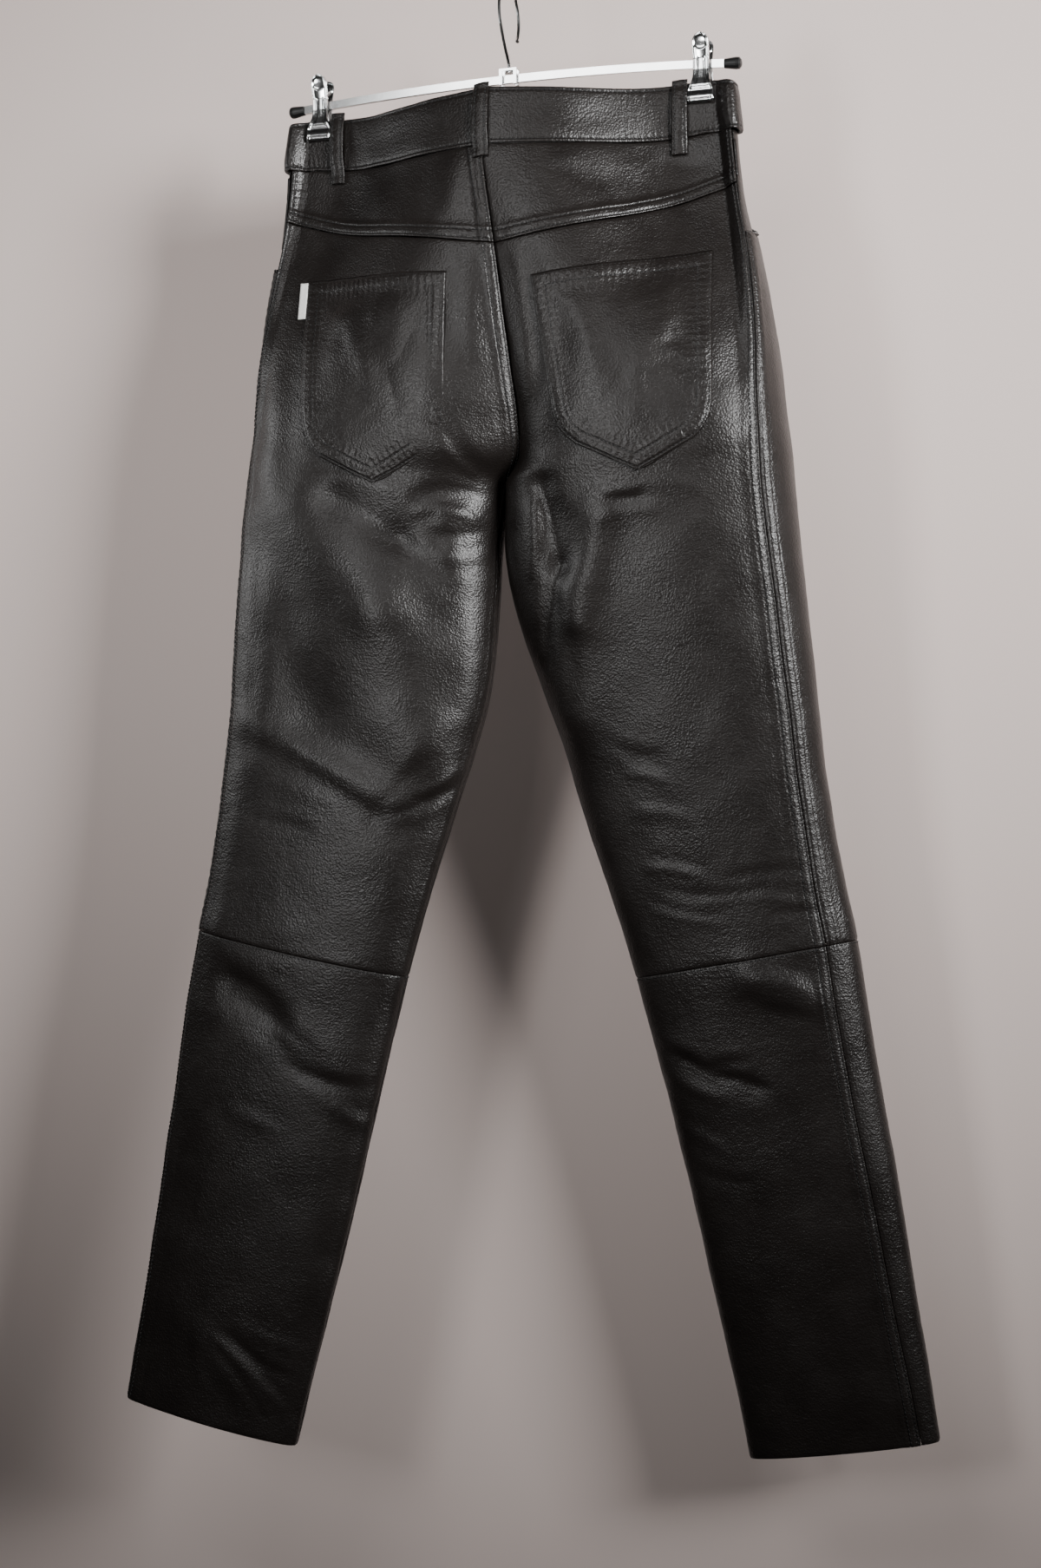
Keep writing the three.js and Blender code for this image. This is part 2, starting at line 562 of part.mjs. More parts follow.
const saddleBlank = new THREE.ExtrudeGeometry(saddleProfile, { depth: SADDLE_LENGTH, bevelEnabled: false, steps: 1 });
// The profile's (y, z, length) become the part's (Y, Z, X)
saddleBlank.applyMatrix4(new THREE.Matrix4().set(0, 0, 1, -SADDLE_LENGTH / 2, 1, 0, 0, 0, 0, 1, 0, 0, 0, 0, 0, 1));
const windowWidth = SADDLE_LENGTH - 2 * PRONG_WIDTH;
const WINDOW_TALL = 20;
const WINDOW_BELOW_ROOF = 0.6;
const saddleWindow = new THREE.BoxGeometry(windowWidth, WINDOW_TALL, WINDOW_TALL);
saddleWindow.translate(0, 0, SADDLE_TOP - SADDLE_THICK - WINDOW_BELOW_ROOF - WINDOW_TALL / 2);
const WIRE_RADIUS = 1.6;
const stemHole = new THREE.CylinderGeometry(
  WIRE_RADIUS + SEAM_GAP, WIRE_RADIUS + SEAM_GAP, 4 * SADDLE_THICK, 16);
stemHole.rotateX(Math.PI / 2);
stemHole.translate(0, 0, SADDLE_TOP);
addGeometry('hook_bracket', geometryOf(
  solidOf(saddleBlank).subtract(solidOf(saddleWindow)).subtract(solidOf(stemHole))), chrome);

// Hook: round wire through the saddle, turned square to the bar so that it hangs over a rail
const HOOK_INNER = 22;
const HOOK_SWEEP_START = -35;
const HOOK_SWEEP_END = 215;
const HOOK_SWEEP_STEP = 12.5;
const STEM_COLUMNS = ['y', 'z'];
const STEM_ROWS = [
  [-10, -48.5],
  [-2.4, -56.5],
  [0, -61],
  [0, -65],
];
const WIRE_SIDES = 8;
const WIRE_STEPS = 44;
const hookRadius = HOOK_INNER + WIRE_RADIUS;
const hookPoints = [];
for (let degrees = HOOK_SWEEP_START; degrees <= HOOK_SWEEP_END; degrees += HOOK_SWEEP_STEP) {
  const turn = THREE.MathUtils.degToRad(degrees);
  hookPoints.push(new THREE.Vector3(0, hookRadius * Math.cos(turn), -HOOK_INNER + hookRadius * Math.sin(turn)));
}
for (const row of STEM_ROWS) {
  hookPoints.push(new THREE.Vector3(0, row[STEM_COLUMNS.indexOf('y')], row[STEM_COLUMNS.indexOf('z')]));
}
const wireSection = new THREE.Shape(Array.from({ length: WIRE_SIDES }, (_, i) => {
  const turn = 2 * Math.PI * i / WIRE_SIDES;
  return new THREE.Vector2(WIRE_RADIUS * Math.cos(turn), WIRE_RADIUS * Math.sin(turn));
}));
const hookWire = new THREE.ExtrudeGeometry(wireSection, {
  steps: WIRE_STEPS, bevelEnabled: false, extrudePath: new THREE.CatmullRomCurve3(hookPoints),
});
const HEAD_RADIUS = 2.8;
const HEAD_THICK = 1.2;
const hookHead = new THREE.CylinderGeometry(HEAD_RADIUS, HEAD_RADIUS, HEAD_THICK, 16);
hookHead.rotateX(Math.PI / 2);
hookHead.translate(0, 0, SADDLE_TOP - SADDLE_THICK - SEAM_GAP - HEAD_THICK / 2);
addGeometry('hook', geometryOf(solidOf(hookWire).add(solidOf(hookHead))), chrome);

// Clips: two sprung plates with rubber pads that bite the band, on a spring round the bar
const CLIP_TOP = -54;
const CLIP_FOOT = -105.5;
const PLATE_THICK = 1;
const PLATE_COLUMNS = ['z', 'half_width', 'inside'];
const PLATE_ROWS = [
  [CLIP_TOP, 1.2, 9.5],
  [CLIP_TOP - 0.8, 3.6, 9.4],
  [CLIP_TOP - 2.4, 5.4, 9.1],
  [CLIP_TOP - 4.6, 6.4, 8.8],
  [CLIP_TOP - 7.5, 6.7, 8.3],
  [-67, 6.6, 6.8],
  [-72, 6.4, 5.4],
  [-80, 6.5, 5.2],
  [-87, 7, 6.1],
  [-92, 8.2, 7.2],
  [-96, 9.8, 7.7],
  [-103.5, 10, 7.7],
  [CLIP_FOOT, 9.6, 7.7],
];
const PLATE_ACROSS = 4;
const PLATE_CUP = 0.9;
const CUP_END = -90;
const PAD = { width: 16, thick: 2.4, tall: 8.5, z: -100.5, inside: 5 };
const SPRING_INNER = 3.7;
const SPRING_THICK = 0.8;
const SPRING_LENGTH = 9;
const plates = PLATE_ROWS.map((row) => Object.fromEntries(PLATE_COLUMNS.map((name, i) => [name, row[i]])));

for (const side of ['left', 'right']) {
  const centre = signOf(side) * CLIP_X[side];
  for (const [face, sign] of [['back', -1], ['front', 1]]) {
    addWall(`clip_${side}_plate_${face}`, plates.length - 1, PLATE_ACROSS, (r, c, lift) => {
      const row = plates[r];
      const across = 2 * c / PLATE_ACROSS - 1;
      const cup = row.z > CUP_END ? PLATE_CUP * across * across : 0;
      return new THREE.Vector3(centre + row.half_width * across, sign * (row.inside + lift - cup), row.z);
    }, PLATE_THICK, 0, chrome);
    const pad = addGeometry(`clip_${side}_pad_${face}`, new THREE.BoxGeometry(PAD.width, PAD.thick, PAD.tall),
      blackRubber);
    pad.position.set(centre, sign * (PAD.inside + PAD.thick / 2), PAD.z);
  }
  const ring = new THREE.Shape();
  const gapStart = THREE.MathUtils.degToRad(-50);
  const gapEnd = THREE.MathUtils.degToRad(230);
  ring.absarc(0, 0, SPRING_INNER + SPRING_THICK, gapStart, gapEnd, false);
  ring.absarc(0, 0, SPRING_INNER, gapEnd, gapStart, true);
  const spring = new THREE.ExtrudeGeometry(ring, { depth: SPRING_LENGTH, bevelEnabled: false, curveSegments: 12 });
  spring.applyMatrix4(new THREE.Matrix4().set(
    0, 0, 1, centre - SPRING_LENGTH / 2, 1, 0, 0, 0, 0, 1, 0, barHeight(centre), 0, 0, 0, 1));
  addGeometry(`clip_${side}_spring`, spring, chrome);
}

export default trousers;
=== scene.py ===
# Black leather trousers hanging from a clip hanger, dressed for the picture.
# Sizes are in millimetres in the part's frame: +Z up, -Y towards the viewer, the origin inside the hook.
import math

import bpy
import numpy as np
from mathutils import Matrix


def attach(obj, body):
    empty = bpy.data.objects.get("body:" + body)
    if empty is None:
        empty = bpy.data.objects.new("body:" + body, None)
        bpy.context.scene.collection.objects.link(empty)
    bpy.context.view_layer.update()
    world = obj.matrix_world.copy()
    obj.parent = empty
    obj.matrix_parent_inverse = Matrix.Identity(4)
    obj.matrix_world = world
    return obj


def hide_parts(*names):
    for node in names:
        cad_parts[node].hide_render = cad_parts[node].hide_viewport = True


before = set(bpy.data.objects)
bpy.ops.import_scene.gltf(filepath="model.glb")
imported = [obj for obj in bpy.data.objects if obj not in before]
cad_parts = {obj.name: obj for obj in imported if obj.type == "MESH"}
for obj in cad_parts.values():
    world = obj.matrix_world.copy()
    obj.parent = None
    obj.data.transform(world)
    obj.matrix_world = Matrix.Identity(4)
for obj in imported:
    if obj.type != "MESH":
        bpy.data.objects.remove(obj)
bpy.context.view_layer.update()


# The trousers' form
# The skin that every leather piece lies on: one closed section for each leg, opening into the body above the
# crotch. An angle runs from the centre seam or inseam round the back to the side seam and on over the front.
MM = 0.001
LEATHER = 1.3
SEAM_GAP = 0.3
HALF_GAP = SEAM_GAP / 2
WAIST_SEAM = 127
BAND_TOP = 88
CROTCH = 361
KNEE = 728
HEM = 1099
LEG_SWING = 40
ROUNDNESS = 0.8
CLIP_X = {-1: 156, 1: 152.5}
CLIP_LEVEL = 110
CLIP_DRIFT = 0.13
LEAST_BULGE = 0.02
PINCH_DEPTH = 3.4
PINCH_FLAT = 10
PINCH_INWARD = 75
PINCH_OUTWARD = 14
PINCH_START = 115
PINCH_LENGTH = 150
BAND_SAG = 3.5
SAG_LENGTH = 60
END_DROOP = 4
DROOP_LENGTH = 30
SECTION_COLUMNS = ("drop", "outer_left", "outer_right", "inner_left", "inner_right", "inner_drop",
                   "open", "back", "front", "sway", "roll_left", "roll_right")
SECTION_ROWS = np.array([
    [88, 182, 178, 0, 0, 92, 90, 52, 38, -4, 17, 14],
    [108, 184, 180, 0, 0, 113, 90, 53, 38, -4, 17, 14],
    [127, 186, 182, 0, 0, 135, 90, 55, 39, -4, 17, 14],
    [150, 187, 184, 0, 0, 158, 78, 58, 41, -1, 17, 15],
    [180, 190, 188, 0, 0, 190, 65, 62, 45, 4, 17, 16],
    [215, 195, 196, 0, 0, 229, 53, 66, 48, 9, 17, 18],
    [250, 200, 203, 0, 0, 268, 44, 68, 50, 13, 17, 21],
    [285, 205, 209, 0, 0, 306, 37, 68, 51, 17, 17, 25],
    [315, 208, 213, 0, 0, 338, 29, 66, 51, 19, 17, 29],
    [340, 210, 216, 0, 0, 365, 19, 63, 50, 16, 17, 31],
    [361, 213, 219, 0, 0, 384, 0, 59, 49, 0, 17, 32],
    [385, 216, 221, 3, -1, 408, 0, 55, 47, 0, 17, 33],
    [410, 219, 223, 6, -2, 434, 0, 51, 45, 0, 17, 33],
    [440, 221, 226, 7, 2, 465, 0, 48, 43, 0, 17, 33],
    [480, 224, 230, 9, 13, 506, 0, 44, 40, 0, 17, 33],
    [520, 226, 234, 14, 28, 547, 0, 40, 38, 0, 17, 34],
    [560, 228, 238, 25, 43, 589, 0, 37, 35, 0, 17, 34],
    [600, 232, 242, 38, 55, 630, 0, 34, 33, 0, 17, 35],
    [650, 238, 250, 54, 72, 682, 0, 31, 30, 0, 17, 37],
    [690, 244, 257, 66, 85, 723, 0, 29, 28, 0, 17, 39],
    [728, 252, 265, 76, 96, 761, 0, 28, 27, 0, 17, 40],
    [780, 261, 273, 88, 110, 812, 0, 26, 26, 0, 17, 41],
    [850, 270, 284, 103, 127, 880, 0, 24, 24, 0, 17, 41],
    [920, 280, 296, 118, 143, 949, 0, 22, 22, 0, 17, 40],
    [1000, 291, 308, 137, 160, 1028, 0, 20, 19, 0, 17, 38],
    [1050, 299, 316, 149, 171, 1077, 0, 18, 17, 0, 17, 36],
    [1099, 307, 323, 160, 180, 1125, 0, 16, 15, 0, 17, 34],
], float)
SECTIONS = dict(zip(SECTION_COLUMNS, SECTION_ROWS.T))
# Large folds, each along a straight line in the part's own x and z: x1, z1, x2, z2, width, height
BACK_FOLDS = [
    (-160, -405, -88, -480, 30, 5),
    (-88, -480, -42, -570, 26, 5),
    (-70, -432, -24, -540, 20, -6),
    (-122, -398, -72, -424, 14, -4),
    (-34, -412, -10, -402, 9, 4),
    (-30, -432, -12, -424, 9, 4),
    (41, -391, 52, -450, 9, -5),
    (52, -450, 36, -519, 9, -4),
    (28, -412, 26, -515, 9, 4),
    (86, -413, 66, -490, 13, 4),
    (84, -409, 118, -404, 7, -3),
    (-205, -563, -72, -630, 13, 3),
    (-212, -772, -100, -850, 15, -4),
    (-158, -806, -72, -868, 14, 4),
    (118, -816, 190, -838, 12, -4),
    (190, -756, 232, -772, 16, 4),
    (-232, -1046, -168, -1106, 14, 4),
]
# Soft forms that the solids don't have, and folds of theirs that the picture shows softer
BACK_DRAPE = [
    (-104, -432, -58, -500, 32, 3),
    (-120, -510, -66, -590, 34, 3),
    (-192, -440, -146, -560, 30, -3),
    (-146, -560, -66, -630, 28, -2),
    (-222, -480, -240, -720, 22, 3),
    (-60, -300, -40, -360, 24, 3),
    (70, -470, 60, -560, 22, 4),
    (118, -816, 190, -838, 14, 2.8),
    (84, -409, 118, -404, 9, 1.8),
    (-88, -480, -42, -570, 26, -2.2),
    (-70, -432, -24, -540, 20, 2.8),
    (-232, -1046, -168, -1106, 15, -2.8),
]
FRONT_FOLDS = [
    (-150, -400, -60, -440, 18, 4),
    (60, -440, 150, -400, 18, 4),
    (-60, -300, -130, -330, 16, -3),
    (60, -300, 130, -330, 16, -3),
    (-210, -745, -110, -775, 14, -4),
    (120, -775, 225, -745, 14, -4),
    (-215, -800, -115, -835, 16, 3),
    (130, -835, 235, -800, 16, 3),
]
# Smaller creases, pressed or raised along a bowed line: x1, z1, x2, z2, width, height, bow. The bow is how
# far the line's middle leaves the straight one.
BACK_CREASES = [
    (-12, -214, -6, -300, 8, 1, -3),
    (22, -212, 30, -330, 6.9, 1.2, 5),
    (36, -230, 40, -345, 10.3, -0.9, 6),
    (-60, -250, -38, -330, 11.5, 1, 4),
    (-48, -330, -14, -392, 8, -1, 5),
    (-40, -345, -4, -388, 4.6, 1, -4),
    (-60, -395, -8, -398, 5.8, -1.4, 6),
    (-64, -408, -14, -414, 4.6, 1.5, 6),
    (-52, -424, -6, -418, 4.6, -1.2, -5),
    (-48, -438, -8, -436, 4.6, 1.1, -6),
    (-100, -420, -30, -470, 8, -1.1, 8),
    (-140, -380, -60, -396, 8, 0.9, 6),
    (-150, -372, -66, -384, 4.6, -0.6, 5),
    (32, -392, 26, -460, 4, 1.4, 5),
    (34, -430, 30, -540, 5.8, -1, -6),
    (40, -470, 46, -560, 6.9, 1.1, 6),
    (50, -400, 58, -470, 8, -1.2, 6),
    (60, -420, 64, -500, 9.2, 1, -5),
    (84, -402, 124, -398, 3, -0.8, -3),
    (90, -414, 132, -414, 3.7, 0.7, 3),
    (120, -392, 166, -400, 5.8, 0.7, 4),
    (150, -378, 196, -366, 5.8, -0.7, -3),
    (-190, -255, -186, -400, 10.3, 0.6, 8),
    (-168, -250, -170, -420, 13.8, -0.5, 8),
    (-30, -560, -90, -640, 10.3, 1, -8),
    (-44, -590, -100, -650, 6.9, -0.9, -6),
    (-30, -598, -66, -622, 3.6, 1.2, 4),
    (-34, -614, -88, -638, 3.8, -1, 4),
    (-205, -560, -150, -590, 4.6, 0.6, 5),
    (-215, -578, -90, -640, 6.9, -0.6, 8),
    (-190, -610, -120, -632, 5.8, 0.5, 4),
    (-200, -640, -140, -652, 4.6, -0.5, 3),
    (-228, -742, -150, -752, 6.9, 0.6, -4),
    (-228, -760, -170, -790, 5.8, -0.7, 5),
    (-210, -792, -150, -822, 4.6, 0.6, 4),
    (-170, -826, -96, -846, 5.8, -1.2, -6),
    (-150, -842, -90, -880, 5.8, 0.7, -5),
    (-216, -868, -170, -884, 5.8, 0.5, 3),
    (108, -676, 160, -684, 4, 0.9, 3),
    (120, -690, 200, -694, 4, -0.6, -4),
    (150, -702, 236, -700, 3.4, 0.6, 4),
    (170, -684, 240, -676, 4, -0.5, 3),
    (110, -706, 176, -716, 3.4, 0.5, -3),
    (200, -712, 246, -706, 3.4, -0.5, 2),
    (96, -606, 132, -612, 4.6, 0.8, 3),
    (88, -584, 128, -592, 4.6, -0.6, -3),
    (100, -634, 150, -640, 4.6, 0.6, 3),
    (112, -812, 158, -830, 4.6, -1.1, 3),
    (158, -830, 206, -842, 3.9, -0.8, 3),
    (150, -828, 190, -818, 3.7, -0.6, 2),
    (116, -826, 170, -848, 5.8, 0.9, -4),
    (190, -756, 240, -768, 5.8, 0.9, 3),
    (182, -770, 238, -786, 5.8, -0.7, -3),
    (126, -872, 172, -890, 4.6, 0.5, 3),
    (138, -902, 190, -910, 4.6, -0.5, -3),
    (-226, -1040, -166, -1098, 3.7, 1, 3),
    (-222, -1052, -182, -1106, 3.7, -0.7, 3),
    (-238, -1042, -232, -1086, 4.6, 0.6, -3),
    (-214, -1036, -160, -1072, 4.1, -0.7, -4),
    (-206, -1030, -150, -1050, 5.8, 0.5, -3),
    (60, -140, 110, -160, 10.3, 1.1, 6),
    (46, -156, 84, -172, 6.9, -1, 5),
    (-120, -130, -96, -176, 10.3, 1, 5),
    (-60, -132, -54, -190, 11.5, -1, 4),
    (120, -142, 160, -150, 6.9, -0.7, -4),
    (-22, -140, -30, -190, 9.2, 1.1, 3),
    (150, -230, 172, -320, 10.3, 0.9, 4),
    (-20, -228, -40, -268, 6.9, 0.9, -3),
    (-190, -440, -184, -560, 10.3, 0.8, 5),
    (-208, -470, -206, -600, 8, -0.7, 4),
]
FRONT_CREASES = [
    (-14, -300, -70, -352, 6.9, 1.2, 6),
    (-18, -322, -80, -372, 5.8, -1.1, 5),
    (14, -300, 70, -352, 6.9, 1.2, -6),
    (18, -322, 84, -372, 5.8, -1.1, -5),
    (-20, -380, -110, -402, 6.9, 1.2, 8),
    (20, -384, 116, -400, 6.9, 1.2, 8),
    (-30, -412, -120, -420, 5.8, -1, 6),
    (30, -412, 118, -424, 5.8, -1, 6),
    (-190, -160, -150, -250, 10.3, 1.1, 5),
    (186, -160, 150, -250, 10.3, 1.1, -5),
    (-200, -620, -110, -640, 6.9, 0.7, 6),
    (112, -644, 214, -620, 6.9, 0.7, 6),
    (-214, -690, -110, -712, 5.8, -0.7, 5),
    (118, -716, 232, -694, 5.8, -0.7, 5),
    (-226, -742, -130, -772, 5.8, 0.9, 5),
    (140, -772, 240, -746, 5.8, 0.9, 5),
    (-224, -782, -140, -812, 5.8, -0.8, 5),
    (150, -812, 246, -786, 5.8, -0.8, 5),
    (-244, -900, -170, -920, 6.9, 0.6, 4),
    (170, -922, 262, -900, 6.9, 0.6, 4),
    (-268, -1020, -190, -1046, 6.9, 0.7, 4),
    (196, -1048, 286, -1022, 6.9, 0.7, 4),
]
# The trough beside a crease: its depth as a share of the crease's height, its place and width in crease widths
TROUGH_SHARE = 0.45
TROUGH_AWAY = 1.7
TROUGH_WIDTH = 1.2
WAVE_COUNT = 16
# Halvings and range of drops in the search for a point of the skin
FINDING_STEPS = 40
FINDING_RANGE = (60.0, HEM + 40.0)
TURN_STEP = 0.01


def along(column, drop):
    """A smooth curve through one column of the sections, by cubic pieces with averaged slopes."""
    key, value = SECTIONS["drop"], SECTIONS[column]
    slope = np.gradient(value, key)
    slope[1:-1] = (value[2:] - value[:-2]) / (key[2:] - key[:-2])
    i = np.clip(np.searchsorted(key, drop, side="right") - 1, 0, len(key) - 2)
    span = key[i + 1] - key[i]
    t = (drop - key[i]) / span
    return ((2 * t**3 - 3 * t**2 + 1) * value[i] + (t**3 - 2 * t**2 + t) * span * slope[i]
            + (3 * t**2 - 2 * t**3) * value[i + 1] + (t**3 - t**2) * span * slope[i + 1])


def bell(distance, width):
    return np.exp(-((distance / width) ** 2))


def rise(value, low, high):
    """0 at low, 1 at high, smooth between."""
    t = np.clip((value - low) / (high - low), 0, 1)
    return t * t * (3 - 2 * t)


def section(side, drop, on_back):
    """Where one side's section starts and ends across, its opening angle and the half width of its curve."""
    name = "left" if side < 0 else "right"
    outer = along("outer_" + name, drop)
    opening = np.radians(np.clip(along("open", drop), 0, 90))
    sway = np.where(on_back & (drop < CROTCH), along("sway", drop), 0)
    inner = along("inner_" + name, drop) + HALF_GAP + side * sway
    return outer, inner, opening, (outer - inner) / (1 + np.cos(opening))


def fold_lift(rows, x, z):
    """The large folds: a bell of the distance from each fold's line, times its height."""
    lift = np.zeros(np.shape(x))
    for x1, z1, x2, z2, width, height in rows:
        dx, dz = x2 - x1, z2 - z1
        t = np.clip(((x - x1) * dx + (z - z1) * dz) / (dx * dx + dz * dz), 0, 1)
        lift += height * bell(np.hypot(x - x1 - t * dx, z - z1 - t * dz), width)
    return lift


def crease_lift(rows, x, z):
    """Small creases: a narrow bell across a bowed line, with a shallow opposite trough beside it. Both fade
    at the line's ends."""
    lift = np.zeros(np.shape(x))
    for x1, z1, x2, z2, width, height, bow in rows:
        dx, dz = x2 - x1, z2 - z1
        length = math.hypot(dx, dz)
        t = ((x - x1) * dx + (z - z1) * dz) / length**2
        side = ((z - z1) * dx - (x - x1) * dz) / length - 4 * bow * t * (1 - t)
        fade = np.clip(1 - np.abs(2 * t - 1) ** 3, 0, 1) ** 0.7
        trough = TROUGH_SHARE * bell(side - TROUGH_AWAY * width, TROUGH_WIDTH * width)
        lift += height * fade * (bell(side, width) - trough)
    return lift


def waves(x, z, seed, length, height):
    """Unevenness: a sum of waves in random directions and of random lengths about the given one."""
    random = np.random.default_rng(seed)
    total = np.zeros(np.shape(x))
    for _ in range(WAVE_COUNT):
        turn, phase, scale = random.uniform((0, 0, 0.6), (math.tau, math.tau, 1.7))
        total += np.sin(math.tau * (x * math.cos(turn) + z * math.sin(turn)) / (scale * length) + phase
                        + np.sin((x - z) / (1.3 * length)))
    return height * total / math.sqrt(WAVE_COUNT)


def skin(side, angle, drop):
    """Points of the skin. Across, a circle's cosine. In depth, a blunted sine, squeezed at the clips. The
    level tilts with the leg, sags between the clips and droops at the band's ends, and the leg swings."""
    angle, drop = np.broadcast_arrays(np.asarray(angle, float), np.asarray(drop, float))
    on_back = np.sin(angle) > 0
    outer, inner, _, half = section(side, drop, on_back)
    x = outer - half - half * np.cos(angle)
    full = np.where(on_back, along("back", drop), along("front", drop))
    round_part = np.abs(np.sin(angle))
    clip = CLIP_X[side] + CLIP_DRIFT * np.maximum(drop - CLIP_LEVEL, 0)
    clip_bulge = np.maximum(1 - ((clip - outer + half) / half) ** 2, LEAST_BULGE) ** (ROUNDNESS / 2)
    beyond = np.maximum(np.abs(x - clip) - PINCH_FLAT, 0)
    below_start = np.maximum(drop - PINCH_START, 0)
    pinch = ((1 - PINCH_DEPTH / (full * clip_bulge)) * bell(below_start, PINCH_LENGTH)
             * bell(beyond, np.where(x < clip, PINCH_INWARD, PINCH_OUTWARD)))
    across = (x - inner) / (outer - inner)
    to_clip = np.clip(x / clip, 0, 1)
    z = -(along("inner_drop", drop) * (1 - across) + drop * across)
    past_clip = np.clip((x - clip) / (outer - clip), 0, 1)
    z -= END_DROOP * past_clip**2 * bell(np.maximum(drop - BAND_TOP, 0), DROOP_LENGTH)
    z -= 4 * BAND_SAG * to_clip * (1 - to_clip) * bell(np.maximum(drop - WAIST_SEAM, 0), SAG_LENGTH)
    back_folds, front_folds = (fold_lift(rows, side * x, z) for rows in (BACK_FOLDS, FRONT_FOLDS))
    folds = np.where(on_back, back_folds, front_folds)
    depth = full * round_part**ROUNDNESS * (1 - pinch) + folds * round_part
    swing = side * LEG_SWING * np.maximum((drop - CROTCH) / (HEM - CROTCH), 0)
    return np.stack([side * x, np.where(on_back, -depth, depth) + swing, z], axis=-1)


def nudged(side, angle, drop, length):
    """An angle moved along the section by a length."""
    way = skin(side, angle + TURN_STEP, drop) - skin(side, angle - TURN_STEP, drop)
    speed = np.linalg.norm(way, axis=-1) / (2 * TURN_STEP)
    return angle + length / speed


def find(side, face, x, z):
    """The angle and drop of the skin's points that have a given x and z."""
    on_back = np.full(np.shape(x), face == "back")
    low, high = (np.full(np.shape(x), limit) for limit in FINDING_RANGE)
    for _ in range(FINDING_STEPS):
        drop = (low + high) / 2
        outer, inner, _, _ = section(side, drop, on_back)
        across = (side * x - inner) / (outer - inner)
        above = -(along("inner_drop", drop) * (1 - across) + drop * across) > z
        low, high = np.where(above, drop, low), np.where(above, high, drop)
    outer, _, _, half = section(side, low, on_back)
    angle = np.arccos(np.clip((outer - half - side * x) / half, -1, 1))
    return (angle if face == "back" else math.tau - angle), low


def seam_angle(side, drop):
    return math.pi - np.radians(along("roll_left" if side < 0 else "roll_right", drop))


def panel_angle(side, face, share, drop):
    """The angle at a share of the way across a panel, from its first seam to its second, half a gap in from
    each."""
    _, _, opening, _ = section(side, drop, np.full(np.shape(drop), True))
    seam = seam_angle(side, drop)
    if face == "back":
        first = np.where(opening < 0.01, nudged(side, opening, drop, HALF_GAP), opening)
        second = nudged(side, seam, drop, -HALF_GAP)
    else:
        last = math.tau - opening
        first = nudged(side, seam, drop, HALF_GAP)
        second = np.where(opening < 0.01, nudged(side, last, drop, -HALF_GAP), last)
    return first + (second - first) * share


def unit(vectors):
    return vectors / np.maximum(np.linalg.norm(vectors, axis=-1, keepdims=True), 1e-9)


def normals(points, side):
    """Outward directions of a grid whose rows run down and whose columns run with the angle."""
    down, across = np.gradient(points, axis=0), np.gradient(points, axis=1)
    return unit(side * np.cross(down, across))


def travelled(points):
    """Distances from the first point along a line of points, or along each row of a grid."""
    steps = np.diff(points, axis=-2, prepend=points[..., :1, :])
    return np.cumsum(np.linalg.norm(steps, axis=-1), axis=-1)


def shares(lengths, first, last, count):
    """Grid places for each row of the given length: at the first distances from its start, at the last
    distances from its end, and count more spread evenly between."""
    lengths = np.asarray(lengths, float)[:, None]
    start, end = first[None, :] / lengths, 1 - last[None, ::-1] / lengths
    spread = np.linspace(0, 1, count + 2)[None, 1:-1]
    return np.concatenate([start, start[:, -1:] + (end[:, :1] - start[:, -1:]) * spread, end], axis=1)


def add_object(name, data):
    """A new object in the scene."""
    made = bpy.data.objects.new(name, data)
    bpy.context.scene.collection.objects.link(made)
    return made


def smooth_piece(name, points, faces, material):
    """A smooth mesh of one material, in the scene and on the root body."""
    mesh = bpy.data.meshes.new(name)
    mesh.from_pydata((points.reshape(-1, 3) * MM).tolist(), [], faces)
    mesh.polygons.foreach_set("use_smooth", [True] * len(mesh.polygons))
    mesh.materials.append(material)
    piece = add_object(name, mesh)
    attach(piece, "root")
    return piece


def grid_object(name, points, side, material, thickness=LEATHER):
    """A smooth shell through a grid of points. Its faces look out, and its thickness goes inward."""
    rows, columns = points.shape[:2]
    index = np.arange(rows * columns).reshape(rows, columns)
    quads = np.stack([index[:-1, :-1], index[1:, :-1], index[1:, 1:], index[:-1, 1:]], axis=-1).reshape(-1, 4)
    if side < 0:
        quads = quads[:, ::-1]
    piece = smooth_piece(name, points, quads.tolist(), material)
    wall = piece.modifiers.new("Thickness", "SOLIDIFY")
    wall.thickness = thickness * MM
    wall.offset = -1
    return piece


# Sewing
# Black thread, in short stitches with a small gap between, each a little sunk into the leather.
STITCH_PITCH = 3.3
STITCH_LENGTH = 2.5
THREAD_RADIUS = 0.42
STITCH_STAND = 0.1
STITCH_END_SINK = 0.25
TANGENT_REACH = 1.2
# A stitch's rings: their places along it and their thickness
STITCH_STATIONS = np.array([-0.5, -0.32, 0.32, 0.5])
STITCH_PROFILE = np.array([0.45, 1, 1, 0.45])
STITCH_SIDES = 5


def feed(node, inputs):
    """Gives each of a node's inputs a value, or another node's output."""
    for name, value in inputs.items():
        if isinstance(value, bpy.types.NodeSocket):
            node.id_data.links.new(value, node.inputs[name])
        else:
            node.inputs[name].default_value = value


def add_node(tree, kind, inputs=None, **settings):
    """A shader node with its settings and inputs."""
    made = tree.nodes.new(kind)
    for name, value in settings.items():
        setattr(made, name, value)
    feed(made, inputs or {})
    return made


def linear(code):
    """The linear colour of an sRGB hex code."""
    parts = [int(code[i:i + 2], 16) / 255 for i in (0, 2, 4)]
    return [p / 12.92 if p <= 0.04045 else ((p + 0.055) / 1.055) ** 2.4 for p in parts] + [1]


